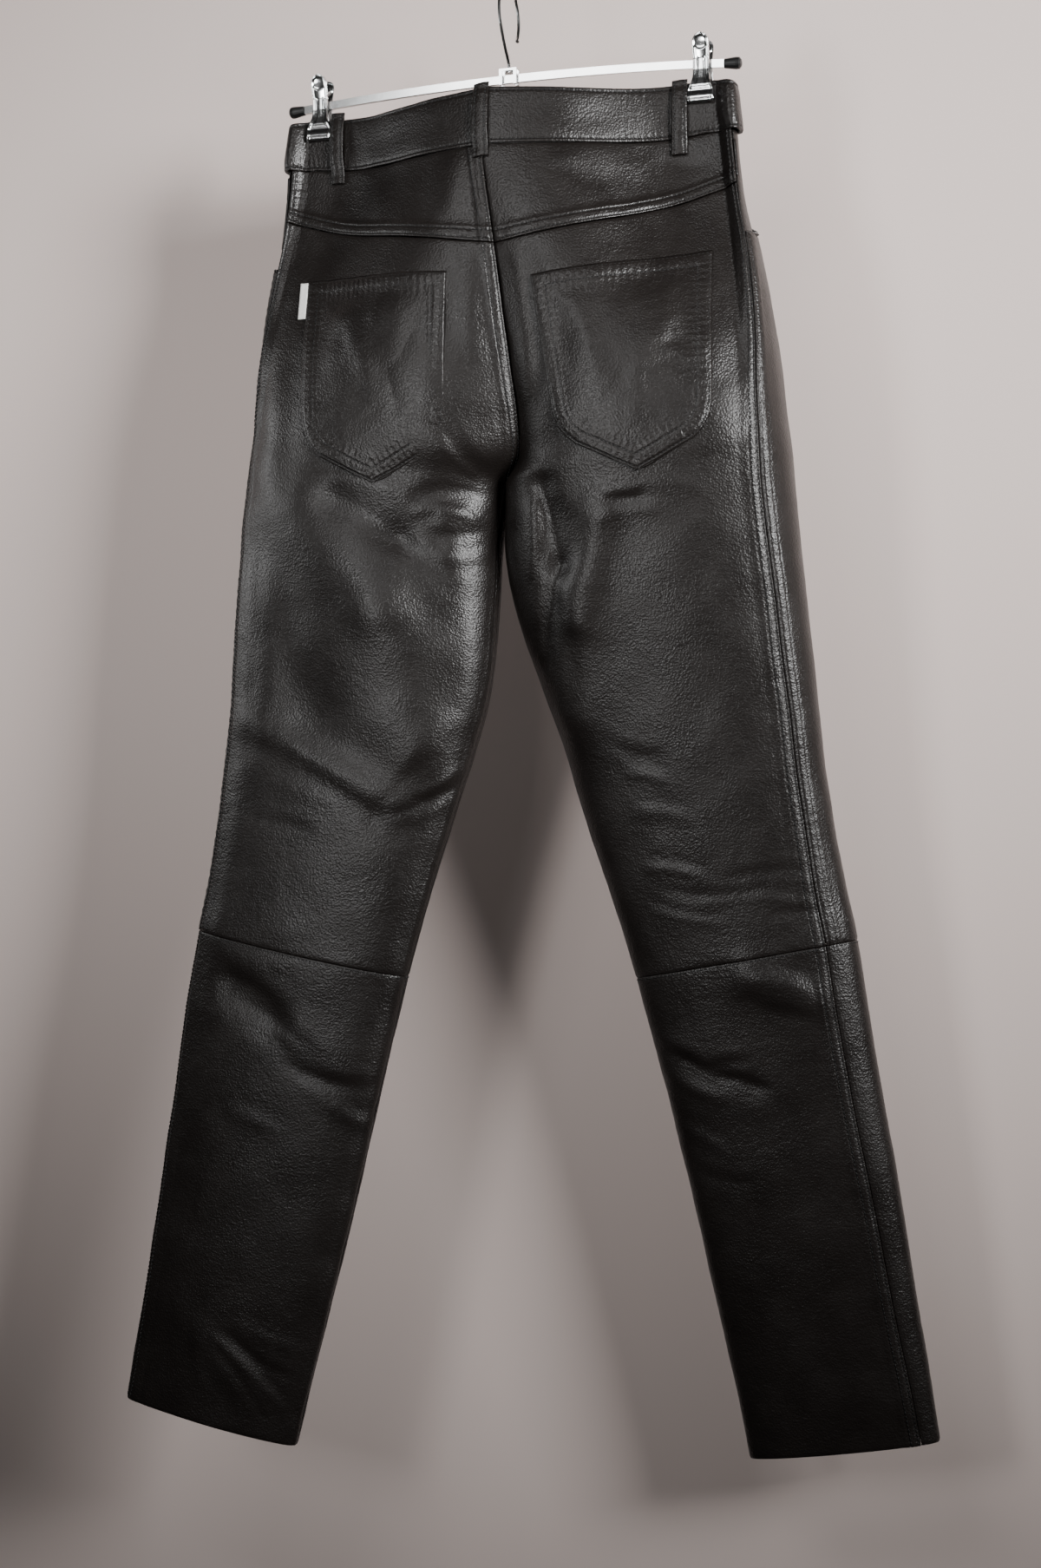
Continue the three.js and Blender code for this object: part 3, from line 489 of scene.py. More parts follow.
def new_material(name):
    """A material with its node tree, its shader and its object coordinates."""
    material = bpy.data.materials.new(name)
    material.use_nodes = True
    tree = material.node_tree
    place = add_node(tree, "ShaderNodeTexCoord").outputs["Object"]
    return material, tree, tree.nodes["Principled BSDF"], place


def metal(name, colour, grain, low, high):
    """A metal whose roughness wanders between two values."""
    material, tree, shader, place = new_material(name)
    noise = add_node(tree, "ShaderNodeTexNoise", {"Vector": place, "Scale": grain, "Detail": 3})
    gloss = add_node(tree, "ShaderNodeMapRange", {"Value": noise.outputs[0], "To Min": low, "To Max": high})
    feed(shader, {"Base Color": linear(colour), "Metallic": 1, "Roughness": gloss.outputs["Result"]})
    return material


def matt(name, colour, roughness, pattern, inputs, strength):
    """A material with a fine pattern as its bump."""
    material, tree, shader, place = new_material(name)
    texture = add_node(tree, pattern, {"Vector": place, **inputs})
    bump = add_node(tree, "ShaderNodeBump", {"Height": texture.outputs[0], "Strength": strength,
                                             "Distance": 0.0001})
    feed(shader, {"Base Color": linear(colour), "Roughness": roughness, "Normal": bump.outputs["Normal"]})
    return material


# Waxed polyester thread, black with a soft shine
thread, _, shader, _ = new_material("black_waxed_thread")
feed(shader, {"Base Color": linear("080808"), "Roughness": 0.65})


def on_run(length, values, where):
    """A run's values at distances along it."""
    return np.stack([np.interp(where, length, column) for column in values.T], axis=1)


def stitches(name, runs):
    """Stitches along several runs, each a pair of points and outward directions: small spindles laid end to
    end."""
    centres, tangents, outs = [], [], []
    for points, outward in runs:
        length = travelled(points)
        at = np.arange(STITCH_PITCH / 2, length[-1] - STITCH_PITCH / 2, STITCH_PITCH)
        centres.append(on_run(length, points, at))
        after, before = (on_run(length, points, at + way) for way in (TANGENT_REACH, -TANGENT_REACH))
        tangents.append(after - before)
        outs.append(on_run(length, outward, at))
    centre, tangent, out = (np.concatenate(part) for part in (centres, tangents, outs))
    tangent = unit(tangent)
    beside = unit(np.cross(tangent, out))
    out = np.cross(beside, tangent)
    k = np.arange(STITCH_SIDES)
    turn = k / STITCH_SIDES * math.tau
    stand = STITCH_STAND - STITCH_END_SINK * (1 - STITCH_PROFILE)
    along_it = (STITCH_STATIONS * STITCH_LENGTH)[None, :, None, None]
    ring = (centre[:, None, None] + tangent[:, None, None] * along_it
            + (out[:, None, None] * np.cos(turn)[None, None, :, None]
               + beside[:, None, None] * np.sin(turn)[None, None, :, None])
            * THREAD_RADIUS * STITCH_PROFILE[None, :, None, None]
            + out[:, None, None] * stand[None, :, None, None])
    rings = len(STITCH_STATIONS)
    base = (np.arange(len(centre)) * rings * STITCH_SIDES)[:, None, None]
    after = (k + 1) % STITCH_SIDES
    quads = [np.stack([k, after, STITCH_SIDES + after, STITCH_SIDES + k], axis=-1) + r * STITCH_SIDES
             for r in range(rings - 1)]
    quads = (base + np.concatenate(quads)[None]).reshape(-1, 4)
    first_end = (base[:, 0] + k[None, ::-1]).tolist()
    last_end = (base[:, 0] + (rings - 1) * STITCH_SIDES + k[None]).tolist()
    return smooth_piece(name, ring, quads.tolist() + first_end + last_end, thread)


# Smooth black nappa: a fine pebble grain, faint stretch wrinkles and an uneven, semi-gloss finish
leather, tree, shader, place = new_material("black_nappa_leather")
stretch = add_node(tree, "ShaderNodeMapping", {"Vector": place, "Scale": (0.7, 1, 1.3)})
pebble = add_node(tree, "ShaderNodeTexVoronoi", {"Vector": place, "Scale": 700, "Smoothness": 0.5},
                  feature="SMOOTH_F1")
wrinkle = add_node(tree, "ShaderNodeTexNoise", {"Vector": stretch.outputs["Vector"], "Scale": 260,
                                                "Detail": 5, "Roughness": 0.62})
patch = add_node(tree, "ShaderNodeTexNoise", {"Vector": place, "Scale": 28, "Detail": 4, "Roughness": 0.6})
gloss = add_node(tree, "ShaderNodeMapRange", {"Value": patch.outputs[0], "From Min": 0.3, "From Max": 0.7,
                                              "To Min": 0.31, "To Max": 0.42})
tone = add_node(tree, "ShaderNodeMix", data_type="RGBA")
feed(tone, {0: patch.outputs[0], 6: linear("151211"), 7: linear("1e1a18")})
creased = add_node(tree, "ShaderNodeBump", {"Height": wrinkle.outputs[0], "Strength": 0.7,
                                            "Distance": 0.00045})
grained = add_node(tree, "ShaderNodeBump", {"Height": pebble.outputs["Distance"], "Strength": 0.8,
                                            "Distance": 0.0003, "Normal": creased.outputs["Normal"]})
feed(shader, {"Base Color": tone.outputs[2], "Roughness": gloss.outputs["Result"], "Specular IOR Level": 0.42,
              "Normal": grained.outputs["Normal"]})

# Distances from an edge at which a grid keeps a line, so that a seam's relief and its stitches have places
SEWN_EDGE = np.array([0, 0.5, 1.1, 1.6, 2.0, 2.4, 3.0, 4.2, 5.5, 6.8, 7.6, 8.0, 8.4, 9.2, 10.4, 12.5])
PLAIN_EDGE = np.array([0, 0.6, 1.5, 3, 6])
# The two of those lines that stitches run on
NEAR_LINE = 4
FAR_LINE = 11
# Places across at which a panel's width is measured, how far in from its sides the soft forms reach their full
# height, and how much a plain edge is rounded off
WIDTH_SAMPLES = 50
DRAPE_FADE = 30
PLAIN_ROUND = 0.5

# A double-sewn edge: how far it is raised, where that ends, how much its rim is rounded off, how deep its
# lines are, and the height and pitch of the puckers
SEWN_RAISE = 1.1
SEWN_RAISE_END = (8.5, 12.5)
SEWN_ROUND = 0.7
SEWN_SINK = 0.6
PUCKER = 0.28
PUCKER_PITCH = 5.3


def sewn_lift(distance, length, seed):
    """A double-sewn edge: raised by the allowances under it, sunk at its two lines, puckered between and
    beside."""
    raised = SEWN_RAISE * (1 - rise(distance, *SEWN_RAISE_END)) - SEWN_ROUND * bell(distance, 0.7)
    near, far = distance - SEWN_EDGE[NEAR_LINE], distance - SEWN_EDGE[FAR_LINE]
    sunk = -SEWN_SINK * (bell(near, 0.6) + bell(far, 0.65))
    ripple = np.sin(math.tau * length / PUCKER_PITCH + 1.7 * np.sin(length / 17 + seed) + seed)
    pucker = PUCKER * ripple * (bell(distance - 5, 2.6) + 0.6 * bell(distance - 11.5, 3.5))
    return raised + sunk + pucker


def level_seam(drop):
    """A seam at one drop, as a function of the share across."""
    return lambda share: drop + 0 * share


def make_panel(side, face, top, bottom, edges, columns, rows, seed, first_share=None):
    """A panel of the trousers between two drops, given as functions of the share across. edges tells which of
    its first, last, top and bottom edges are double-sewn. Returns its grid of points and its outward
    directions."""
    fine = {edge: SEWN_EDGE if edge in edges else PLAIN_EDGE for edge in ("first", "last", "top", "bottom")}
    middle = np.array(0.5)
    height = float(bottom(middle) - top(middle))
    level = (float(top(middle)) + height * shares([height], fine["top"], fine["bottom"], rows)[0])[:, None]
    begin = 0 * level if first_share is None else first_share(level)
    spread = begin + (1 - begin) * np.linspace(0, 1, WIDTH_SAMPLES)
    row = skin(side, panel_angle(side, face, spread, level + 0 * spread), level + 0 * spread)
    share = begin + (1 - begin) * shares(travelled(row)[:, -1], fine["first"], fine["last"], columns)
    local = bottom(share) - top(share)
    order = np.arange(len(level))
    down = shares(local.ravel(), fine["top"], fine["bottom"], rows).reshape(*local.shape, -1)[order, :, order]
    drop = top(share) + local * down
    points = skin(side, panel_angle(side, face, share, drop), drop)
    outward = normals(points, side)
    from_first = travelled(points)
    from_last = from_first[:, -1:] - from_first
    from_top, from_bottom = drop - top(share), bottom(share) - drop
    x, z = points[..., 0], points[..., 2]
    lift = crease_lift(BACK_CREASES if face == "back" else FRONT_CREASES, x, z)
    if face == "back":
        lift += fold_lift(BACK_DRAPE, x, z) * rise(np.minimum(from_first, from_last), 0, DRAPE_FADE)
    lift += waves(x, z, seed, length=60, height=0.22) + waves(x, z, seed + 1, length=15, height=0.05)
    for edge, distance, length in (("first", from_first, drop), ("last", from_last, drop),
                                   ("top", from_top, from_first), ("bottom", from_bottom, from_first)):
        if edge in edges:
            lift += sewn_lift(distance, length, seed + len(edge))
        else:
            lift -= PLAIN_ROUND * bell(distance, 1.2)
    points = points + outward * lift[..., None]
    return points, normals(points, side)


def double_line(points, outward, edge):
    """The two rows of stitches along a grid's first column (edge 0) or last one (edge -1)."""
    columns = [edge - line if edge else line for line in (NEAR_LINE, FAR_LINE)]
    return [(points[:, c], outward[:, c]) for c in columns]


def dress(node, points, side, runs, thickness=LEATHER):
    """The leather that stands for a solid, and a list of what is on it: its sewing along the runs."""
    piece = grid_object(f"{node}_leather", points, side, leather, thickness)
    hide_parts(node)
    return piece, [stitches(f"{node}_sewing", runs)] if runs else []


# Yokes
# Shaped leather between the waistband and the back panels; its lower edge laps over the panel and is
# double-sewn, like its edge at the side seam, and the left one's edge at the centre back.
YOKE_REFERENCE = 185.0
YOKE_CENTRE = 198
YOKE_RISE = 31
YOKE_CURVE = 1.45
# Flat sizes are at the seams, without allowances: the left yoke is wider, because the seat's bow leans to it
SIDES = {"left": -1, "right": 1}


def yoke_drop(side):
    """The yoke seam's drop as a function of the share across."""
    def at(share):
        angle = panel_angle(side, "back", share, np.full(np.shape(share), YOKE_REFERENCE))
        outer, inner, _, half = section(side, YOKE_REFERENCE, np.array(True))
        across = (outer - half - half * np.cos(angle) - inner) / (outer - inner)
        return YOKE_CENTRE - YOKE_RISE * np.maximum(across, 0) ** YOKE_CURVE
    return at


for name, side in SIDES.items():
    edges = {"last", "bottom"} | ({"first"} if side < 0 else set())
    low = yoke_drop(side)
    points, outward = make_panel(side, "back", level_seam(WAIST_SEAM + HALF_GAP),
                                 lambda share, low=low: low(share) - HALF_GAP, edges,
                                 columns=50, rows=14, seed=11 + side)
    runs = [(points[-1 - line], outward[-1 - line]) for line in (NEAR_LINE, FAR_LINE)]
    runs += double_line(points, outward, -1)
    if side < 0:
        runs += double_line(points, outward, 0)
    dress(f"yoke_{name}", points, side, runs)


# Back and front upper panels
# From the yoke or the waistband to the knee. The back ones are double-sewn along the side seam, and the left
# one also along the centre back down to the crotch. The front ones leave a curved pocket mouth open.
MOUTH_END = 206
MOUTH_SHARE = 0.46
MOUTH_POWER = 2.2
PAST_MOUTH = 6
# Rows of the left back panel's grid that reach down to the crotch
SEAT_ROWS = 62
# The fly's line: straight down, then turning in to the centre seam on a quarter circle
FLY_OUT = 36
FLY_TOP = -136
FLY_STRAIGHT = 120
FLY_STRAIGHT_SHARE = 0.7
FLY_END = 1.5
FLY_LINES = (0, 6)
# Flat width and length in millimetres, and flat area in square metres
BACK_UPPER_FLAT = {"left": (251, 583, 0.127), "right": (241, 590, 0.114)}
FRONT_UPPER_FLAT = {"left": (280, 656, 0.148), "right": (304, 656, 0.156)}


def mouth_share(drop):
    """How much of the front panel's width the pocket mouth takes at a drop."""
    t = np.clip((drop - WAIST_SEAM) / (MOUTH_END - WAIST_SEAM), 0, 1)
    return MOUTH_SHARE * (1 - t**MOUTH_POWER) ** (1 / MOUTH_POWER)


for name, side in SIDES.items():
    low = yoke_drop(side)
    edges = {"last"} | ({"first"} if side < 0 else set())
    points, outward = make_panel(side, "back", lambda share, low=low: low(share) + HALF_GAP,
                                 level_seam(KNEE - HALF_GAP), edges, columns=62, rows=190, seed=21 + side)
    runs = double_line(points, outward, -1)
    if side < 0:
        runs += double_line(points[:SEAT_ROWS], outward[:SEAT_ROWS], 0)
    width, length, area = BACK_UPPER_FLAT[name]
    dress(f"back_upper_{name}", points, side, runs)

    points, outward = make_panel(side, "front", level_seam(WAIST_SEAM + HALF_GAP), level_seam(KNEE - HALF_GAP),
                                 {"first"}, columns=46, rows=190, seed=31 + side, first_share=mouth_share)
    above = points[:, 0, 2] > -(MOUTH_END + PAST_MOUTH)
    runs = double_line(points[above], outward[above], 0)
    if side < 0:
        fly = np.linspace(0, 1, 60)
        turning = fly >= FLY_STRAIGHT_SHARE
        turn = (fly - FLY_STRAIGHT_SHARE) / (1 - FLY_STRAIGHT_SHARE) * math.pi / 2
        for offset in FLY_LINES:
            out = FLY_OUT - offset
            x = -np.where(turning, out * np.cos(turn) + FLY_END, out)
            straight = fly / FLY_STRAIGHT_SHARE * FLY_STRAIGHT
            z = FLY_TOP - np.where(turning, FLY_STRAIGHT + out * np.sin(turn), straight)
            angle, drop = find(side, "front", x, z)
            on_skin = skin(side, angle, drop)
            place = np.array([np.argmin(((points - p) ** 2).sum(axis=2)) for p in on_skin])
            runs.append((points.reshape(-1, 3)[place] * [0, 1, 0] + on_skin * [1, 0, 1],
                         outward.reshape(-1, 3)[place]))
    width, length, area = FRONT_UPPER_FLAT[name]
    dress(f"front_upper_{name}", points, side, runs)


# Lower legs
# Joined to the upper panels by a plain knee seam with one fine line under it; their hems are raw edges.
KNEE_LINE = 2
LOWER_FLAT = {("back", "left"): (189, 0.064), ("back", "right"): (164, 0.0555),
              ("front", "left"): (209, 0.071), ("front", "right"): (221, 0.074)}

for name, side in SIDES.items():
    for face, columns, seed in (("back", 46, 41), ("front", 30, 51)):
        edges = {"last"} if face == "back" else set()
        points, outward = make_panel(side, face, level_seam(KNEE + HALF_GAP), level_seam(HEM), edges,
                                     columns, rows=130, seed=seed + side)
        runs = [(points[KNEE_LINE], outward[KNEE_LINE])]
        if face == "back":
            runs += double_line(points, outward, -1)
        width, area = LOWER_FLAT[face, name]
        dress(f"{face}_lower_{name}", points, side, runs)


# Pocket facings
# The leather that shows above each front pocket's mouth, set back behind the front panel.
FACING_SETBACK = 3.2
FACING_OVERLAP = 0.07
FACING_TAPER_END = 238
FACING_END = 218

for name, side in SIDES.items():
    drop = np.linspace(WAIST_SEAM + HALF_GAP, FACING_END, 46)[:, None] + np.zeros((1, 30))
    reach = mouth_share(drop) + FACING_OVERLAP * (FACING_TAPER_END - drop) / (FACING_TAPER_END - WAIST_SEAM)
    points = skin(side, panel_angle(side, "front", reach * np.linspace(0, 1, 30)[None, :], drop), drop)
    points = points - normals(points, side) * FACING_SETBACK
    dress(f"pocket_facing_{name}", points, side, [])


# Waistband
# Doubled leather in two halves that meet at the centre back. It is sewn near both edges, a little plump
# between, and the left half's end laps over the right half's end at the front.
BAND_OUT = 1.2
BAND_THICK = 2.8
LAP_REACH = 14
LAP_RISE = 3.2
LAP_START = 30
LAP_FULL = 6
UNDER_END = 4
BAND_EDGE = np.array([0, 0.4, 1.0, 1.6, 2.1, 2.5, 2.9, 3.6, 5])
BAND_LINE = 5
BAND_SINK = 0.55
BAND_ROUND = 0.6
BAND_PUCKER = 0.14
BAND_PITCH = 4.6
BAND_PLUMP = 0.5

for name, side in SIDES.items():
    height = WAIST_SEAM - HALF_GAP - BAND_TOP
    rows = shares([height], BAND_EDGE, BAND_EDGE, 7)[0]
    drop = (BAND_TOP + height * rows)[:, None] + np.zeros((1, 330))
    last = nudged(side, np.full(drop.shape, 1.5 * math.pi), drop, LAP_REACH if side < 0 else -UNDER_END)
    angle = math.pi / 2 + (last - math.pi / 2) * np.linspace(0, 1, drop.shape[1])[None, :]
    points = skin(side, angle, drop)
    outward = normals(points, side)
    on_lap = (side < 0) & (angle > math.pi)
    lap = np.where(on_lap, LAP_RISE * (1 - rise(-points[..., 0], LAP_FULL, LAP_START)), 0)
    from_top, from_bottom = drop - BAND_TOP, WAIST_SEAM - HALF_GAP - drop
    length = travelled(points)
    sunk = sum(-BAND_SINK * bell(distance - BAND_EDGE[BAND_LINE], 0.6) - BAND_ROUND * bell(distance, 0.8)
               for distance in (from_top, from_bottom))
    beside_lines = bell(from_top - 4.5, 3) + bell(from_bottom - 4.5, 3)
    ripple = BAND_PUCKER * np.sin(math.tau * length / BAND_PITCH + 2 * np.sin(length / 13)) * beside_lines
    plump = BAND_PLUMP * rise(np.minimum(from_top, from_bottom), 2.5, 10)
    uneven = waves(points[..., 0], points[..., 2], 61 + side, length=38, height=0.25)
    points = points + outward * (BAND_OUT + lap + sunk + ripple + plump + uneven)[..., None]
    outward = normals(points, side)
    runs = [(points[row], outward[row]) for row in (BAND_LINE, -1 - BAND_LINE)]
    dress(f"waistband_{name}", points, side, runs, BAND_THICK)


# Belt loops
# Folded strips sewn over the band at both ends, standing off it between, with a line near each edge.
LOOP_WIDTH = 12
LOOP_THICK = 2.4
LOOP_LENGTH = 56
CENTRE_BACK = -4
# Name, face, x of its middle, z of its top
LOOP_ROWS = [
    ("belt_loop_back", "back", CENTRE_BACK, -89),
    ("belt_loop_back_left", "back", -139.5, -84),
    ("belt_loop_back_right", "back", 136.3, -86),
    ("belt_loop_front_left", "front", -88, -89),
    ("belt_loop_front_right", "front", 88, -89),
]
LOOP_STEPS = [0, 0.08, 0.16, 0.3, 0.45, 0.6, 0.7, 0.78, 0.88, 1]
LOOP_STAND = [1.6, 1.6, 3, 4, 4.2, 4, 3.2, 1.8, 0.5, 0.5]
# Grid lines across a loop, as shares of its width, closer at the edges
LOOP_ACROSS = [0, 0.03, 0.08, 0.13, 0.18, 0.26, 0.4, 0.5, 0.6, 0.74, 0.82, 0.87, 0.92, 0.97, 1]
LOOP_LINE = 4
LOOP_ROUND = 0.9
LOOP_END_ROUND = 0.8
LOOP_SINK = 0.5
LOOP_SINK_IN = 1.8
LOOP_PLUMP = 0.25
LOOP_WALL = 1.9

for name, face, x, top in LOOP_ROWS:
    side = -1 if x < 0 else 1
    down = np.linspace(0, 1, 60)[:, None] + np.zeros((1, len(LOOP_ACROSS)))
    across = np.array(LOOP_ACROSS)[None, :] - 0.5
    at_x = x + LOOP_WIDTH * (across if (face == "back") == (side > 0) else -across) + 0 * down
    angle, drop = find(side, face, at_x, top - LOOP_LENGTH * down)
    base = skin(side, angle, drop)
    outward = normals(base, side)
    stand = np.interp(down, LOOP_STEPS, LOOP_STAND)
    edge = LOOP_WIDTH * (0.5 - np.abs(across))
    top_lift = (LOOP_THICK - LOOP_ROUND * bell(edge, 0.8) - LOOP_SINK * bell(edge - LOOP_SINK_IN, 0.6)
                + LOOP_PLUMP * rise(edge, 2, 5))
    end = LOOP_LENGTH * np.minimum(down, 1 - down)
    uneven = waves(at_x, LOOP_LENGTH * down, 300 + round(x), length=9, height=0.07)
    top_lift = top_lift - LOOP_END_ROUND * bell(end, 0.9) + uneven
    points = base + outward * (stand + top_lift)[..., None]
    outward = normals(points, side)
    runs = [(points[:, column], outward[:, column]) for column in (LOOP_LINE, -1 - LOOP_LINE)]
    dress(name, points, side, runs, LOOP_WALL)


# Back pockets
# Five-sided patches laid on the back panels, double-sewn all round and across the mouth's hem.
# Side, then x and z of the top edge's middle, of half the top edge, and of the way down to the point
POCKET_ROWS = [
    ("right", 101, -228.5, 64, 8.5, 16, -155.5),
    ("left", -93.5, -225, -64.5, 5, 3.5, -160),
]
POCKET_DOWN = [0, 0.12, 0.24, 0.36, 0.48, 0.6, 0.7, 0.77, 0.82, 0.86, 0.91, 0.955, 0.985, 1]
POCKET_HALF = [1, 0.988, 0.976, 0.964, 0.952, 0.94, 0.92, 0.87, 0.79, 0.69, 0.45, 0.24, 0.08, 0.012]
pocket_pieces = {}
POCKET_STAND = 1.7
POCKET_ROUND = 1.1
POCKET_BORDER = 0.6
POCKET_SINK = 0.75
POCKET_PUCKER = 0.3
POCKET_FULLNESS = 1.4
PROBE = 0.5
POCKET_NEAR = 2
POCKET_FAR = 10.5
POCKET_WALL = 1
POCKET_SEED = 81
OUTLINE_POINTS = 420
LINE_TOLERANCE = 0.12


def pocket_outline(width, height):
    """The pocket's outline about the middle of its top edge, in its own plane, at even steps all round."""
    down, half = np.array(POCKET_DOWN) * height, np.array(POCKET_HALF) * width
    corners = np.concatenate([np.stack([half, down], axis=1), np.stack([-half[::-1], down[::-1]], axis=1),
                              [[width, 0]]])
    length = travelled(corners)
    return on_run(length, corners, np.linspace(0, length[-1], OUTLINE_POINTS))


def pocket_surface(row, own, outline, seed):
    """Points and outward directions of a pocket's face over its own plane: raised above the panel, thin at
    its edge, sunk at its two lines and puckered beside them."""
    name, top_x, top_z, half_x, half_z, axis_x, axis_z = row
    side = SIDES[name]
    across, down = own[..., 0] / abs(half_x), own[..., 1] / abs(axis_z)
    x = top_x + half_x * across + axis_x * down
    z = top_z + half_z * across * (1 - down) + axis_z * down
    base = skin(side, *find(side, "back", x, z))
    beside = skin(side, *find(side, "back", x + PROBE, z)) - base
    above = skin(side, *find(side, "back", x, z + PROBE)) - base
    outward = unit(np.cross(beside, above))
    apart = np.stack([np.hypot(own[..., 0] - p[0], own[..., 1] - p[1]) for p in outline])
    distance = apart.min(axis=0)
    length = apart.argmin(axis=0) * np.hypot(*(outline[1] - outline[0]))
    ripple = np.sin(math.tau * length / PUCKER_PITCH + 2 * np.sin(length / 21 + seed))
    lift = POCKET_STAND - POCKET_ROUND * bell(distance, 0.8) + POCKET_BORDER * (1 - rise(distance, 11, 13.5))
    lift -= POCKET_SINK * (bell(distance - POCKET_NEAR, 0.7) + bell(distance - POCKET_FAR, 0.8))
    lift += POCKET_PUCKER * ripple * (bell(distance - 6, 2.4) + 0.7 * bell(distance - 14, 4))
    lift += waves(x, z, seed, length=46, height=0.3) + waves(x, z, seed + 1, length=17, height=0.1)
    lift += POCKET_FULLNESS * rise(distance, 12, 36) * bell(down - 0.25, 0.35)
    lift += crease_lift(POCKET_CREASES, x, z) * rise(distance, 2, 12)
    return base + outward * lift[..., None], outward


# Soft marks that hang from the right pocket's mouth, and the diagonal ones on both pockets
POCKET_CREASES = [
    (60, -252, 96, -330, 8, 1, 4),
    (150, -262, 112, -330, 9, 0.7, -4),
    (128, -300, 160, -306, 5, 0.4, 3),
    (120, -318, 158, -330, 6, -0.3, -3),
    (-120, -250, -84, -330, 9, 0.9, 5),
    (-52, -262, -70, -340, 8, -0.7, 4),
]

for row in POCKET_ROWS:
    name = row[0]
    width, height = abs(row[3]), abs(row[6])
    outline = pocket_outline(width, height)
    down = height * np.concatenate([np.linspace(0, 0.7, 72)[:-1], np.linspace(0.7, 0.998, 48)])
    half = np.interp(down, np.array(POCKET_DOWN) * height, np.array(POCKET_HALF) * width)
    over = np.linspace(-1, 1, 100)[None, :]
    own = np.stack([half[:, None] * over, down[:, None] + 0 * over], axis=-1)
    points, outward = pocket_surface(row, own, outline, POCKET_SEED + len(name))
    centre = np.array([0, 0.45 * height])
    tangent = np.roll(outline, -2, axis=0) - np.roll(outline, 2, axis=0)
    inward = unit(np.stack([-tangent[:, 1], tangent[:, 0]], axis=1))
    inward *= np.sign(((centre - outline) * inward).sum(axis=1))[:, None]
    runs = []
    for line in (POCKET_NEAR, POCKET_FAR):
        path = outline + inward * line
        apart = path[:, None] - outline[None]
        nearest = np.min(np.hypot(apart[..., 0], apart[..., 1]), axis=1)
        path = path[nearest > line - LINE_TOLERANCE]
        runs.append(pocket_surface(row, np.concatenate([path, path[:1]]), outline, POCKET_SEED + len(name)))
    pocket_pieces[name] = dress(f"back_pocket_{name}", points, SIDES[name], runs, POCKET_WALL)


# Tape tab
# A bare white woven tape caught in the left pocket's outer edge.
TAB_WIDTH = 7
TAB_LENGTH = 29
TAB_STAND = 1.3
TAB_THICK = 0.5
tape = matt("white_woven_tape", "efeeea", 0.7, "ShaderNodeTexWave", {"Scale": 420, "Distortion": 0.6}, 0.4)
_, top_x, top_z, half_x, half_z, axis_x, axis_z = POCKET_ROWS[1]
down = 0.01 + np.linspace(0, 1, 20)[:, None] * TAB_LENGTH / -axis_z + np.zeros((1, 8))
edge = 1 - 0.1 * down + (0.2 + TAB_WIDTH * np.linspace(1, 0, 8)[None, :]) / -half_x
x = top_x + half_x * edge + axis_x * down
z = top_z + half_z * edge * (1 - down) + axis_z * down
angle, drop = find(-1, "back", x, z)
base = skin(-1, angle, drop)
points = base + normals(base, 1) * TAB_STAND
tab = grid_object("pocket_tab_tape", points, 1, tape, TAB_THICK)
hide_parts("pocket_tab")
pocket_pieces["left"][1].append(tab)


# Hanger
# A chromed flat bar with tapered rubber ends, a stamped bracket with a wire hook, and two sprung clips.
chrome = metal("bright_chrome", "eceded", grain=90, low=0.15, high=0.22)
rubber = matt("black_rubber", "121212", 0.38, "ShaderNodeTexNoise", {"Scale": 700, "Detail": 2}, 0.3)
plated = metal("dark_plated_steel", "55555a", grain=300, low=0.22, high=0.38)

# Clips
# Stamped and chromed: a rounded head with a round dimple, two flutes down the shank, and a flared jaw that is
# bent in across its middle. Rubber pads behind the jaws hold the band.
# The columns: z, half width, distance of the inside from the bar's middle plane.
PLATE_ROWS = [
    (-54, 1.2, 9.5),
    (-54.8, 3.6, 9.4),
    (-56.4, 5.4, 9.1),
    (-58.6, 6.4, 8.8),
    (-61.5, 6.7, 8.3),
    (-67, 6.6, 6.8),
    (-72, 6.4, 5.4),
    (-80, 6.5, 5.2),
    (-87, 7, 6.1),
    (-92, 8.2, 7.2),
    (-96, 9.8, 7.7),
    (-103.5, 10, 7.7),
    (-105.5, 9.6, 7.7),
]
PLATE_THICK = 1
PLATE_WALL = 0.7
PLATE_TOP = -54
PLATE_HEAD = -57
PLATE_END = -105.5
DIMPLE_Z = -60.8
DIMPLE_RADIUS = 5.2
DIMPLE_DEPTH = 1.7
SHANK_ROUND = 0.9
SHANK_END = (84, 90)
RIM_HEIGHT = 0.5
RIM_DROP = 0.8
FLUTE_X = 2.6
FLUTE_SPREAD = 0.06
FLUTE_DEPTH = 0.75
FLUTE_WIDTH = 0.55
FLUTE_TOP = (70, 74)
FLUTE_END = (89, 92.5)
JAW_BEND = 1.1
JAW_BEND_DROP = 96
JAW_RIDGE = 0.5
JAW_RIDGE_DROP = 101.5
JAW_WIDTH = 2.2
LIP = 0.9
LIP_RANGE = (104, 105.5)

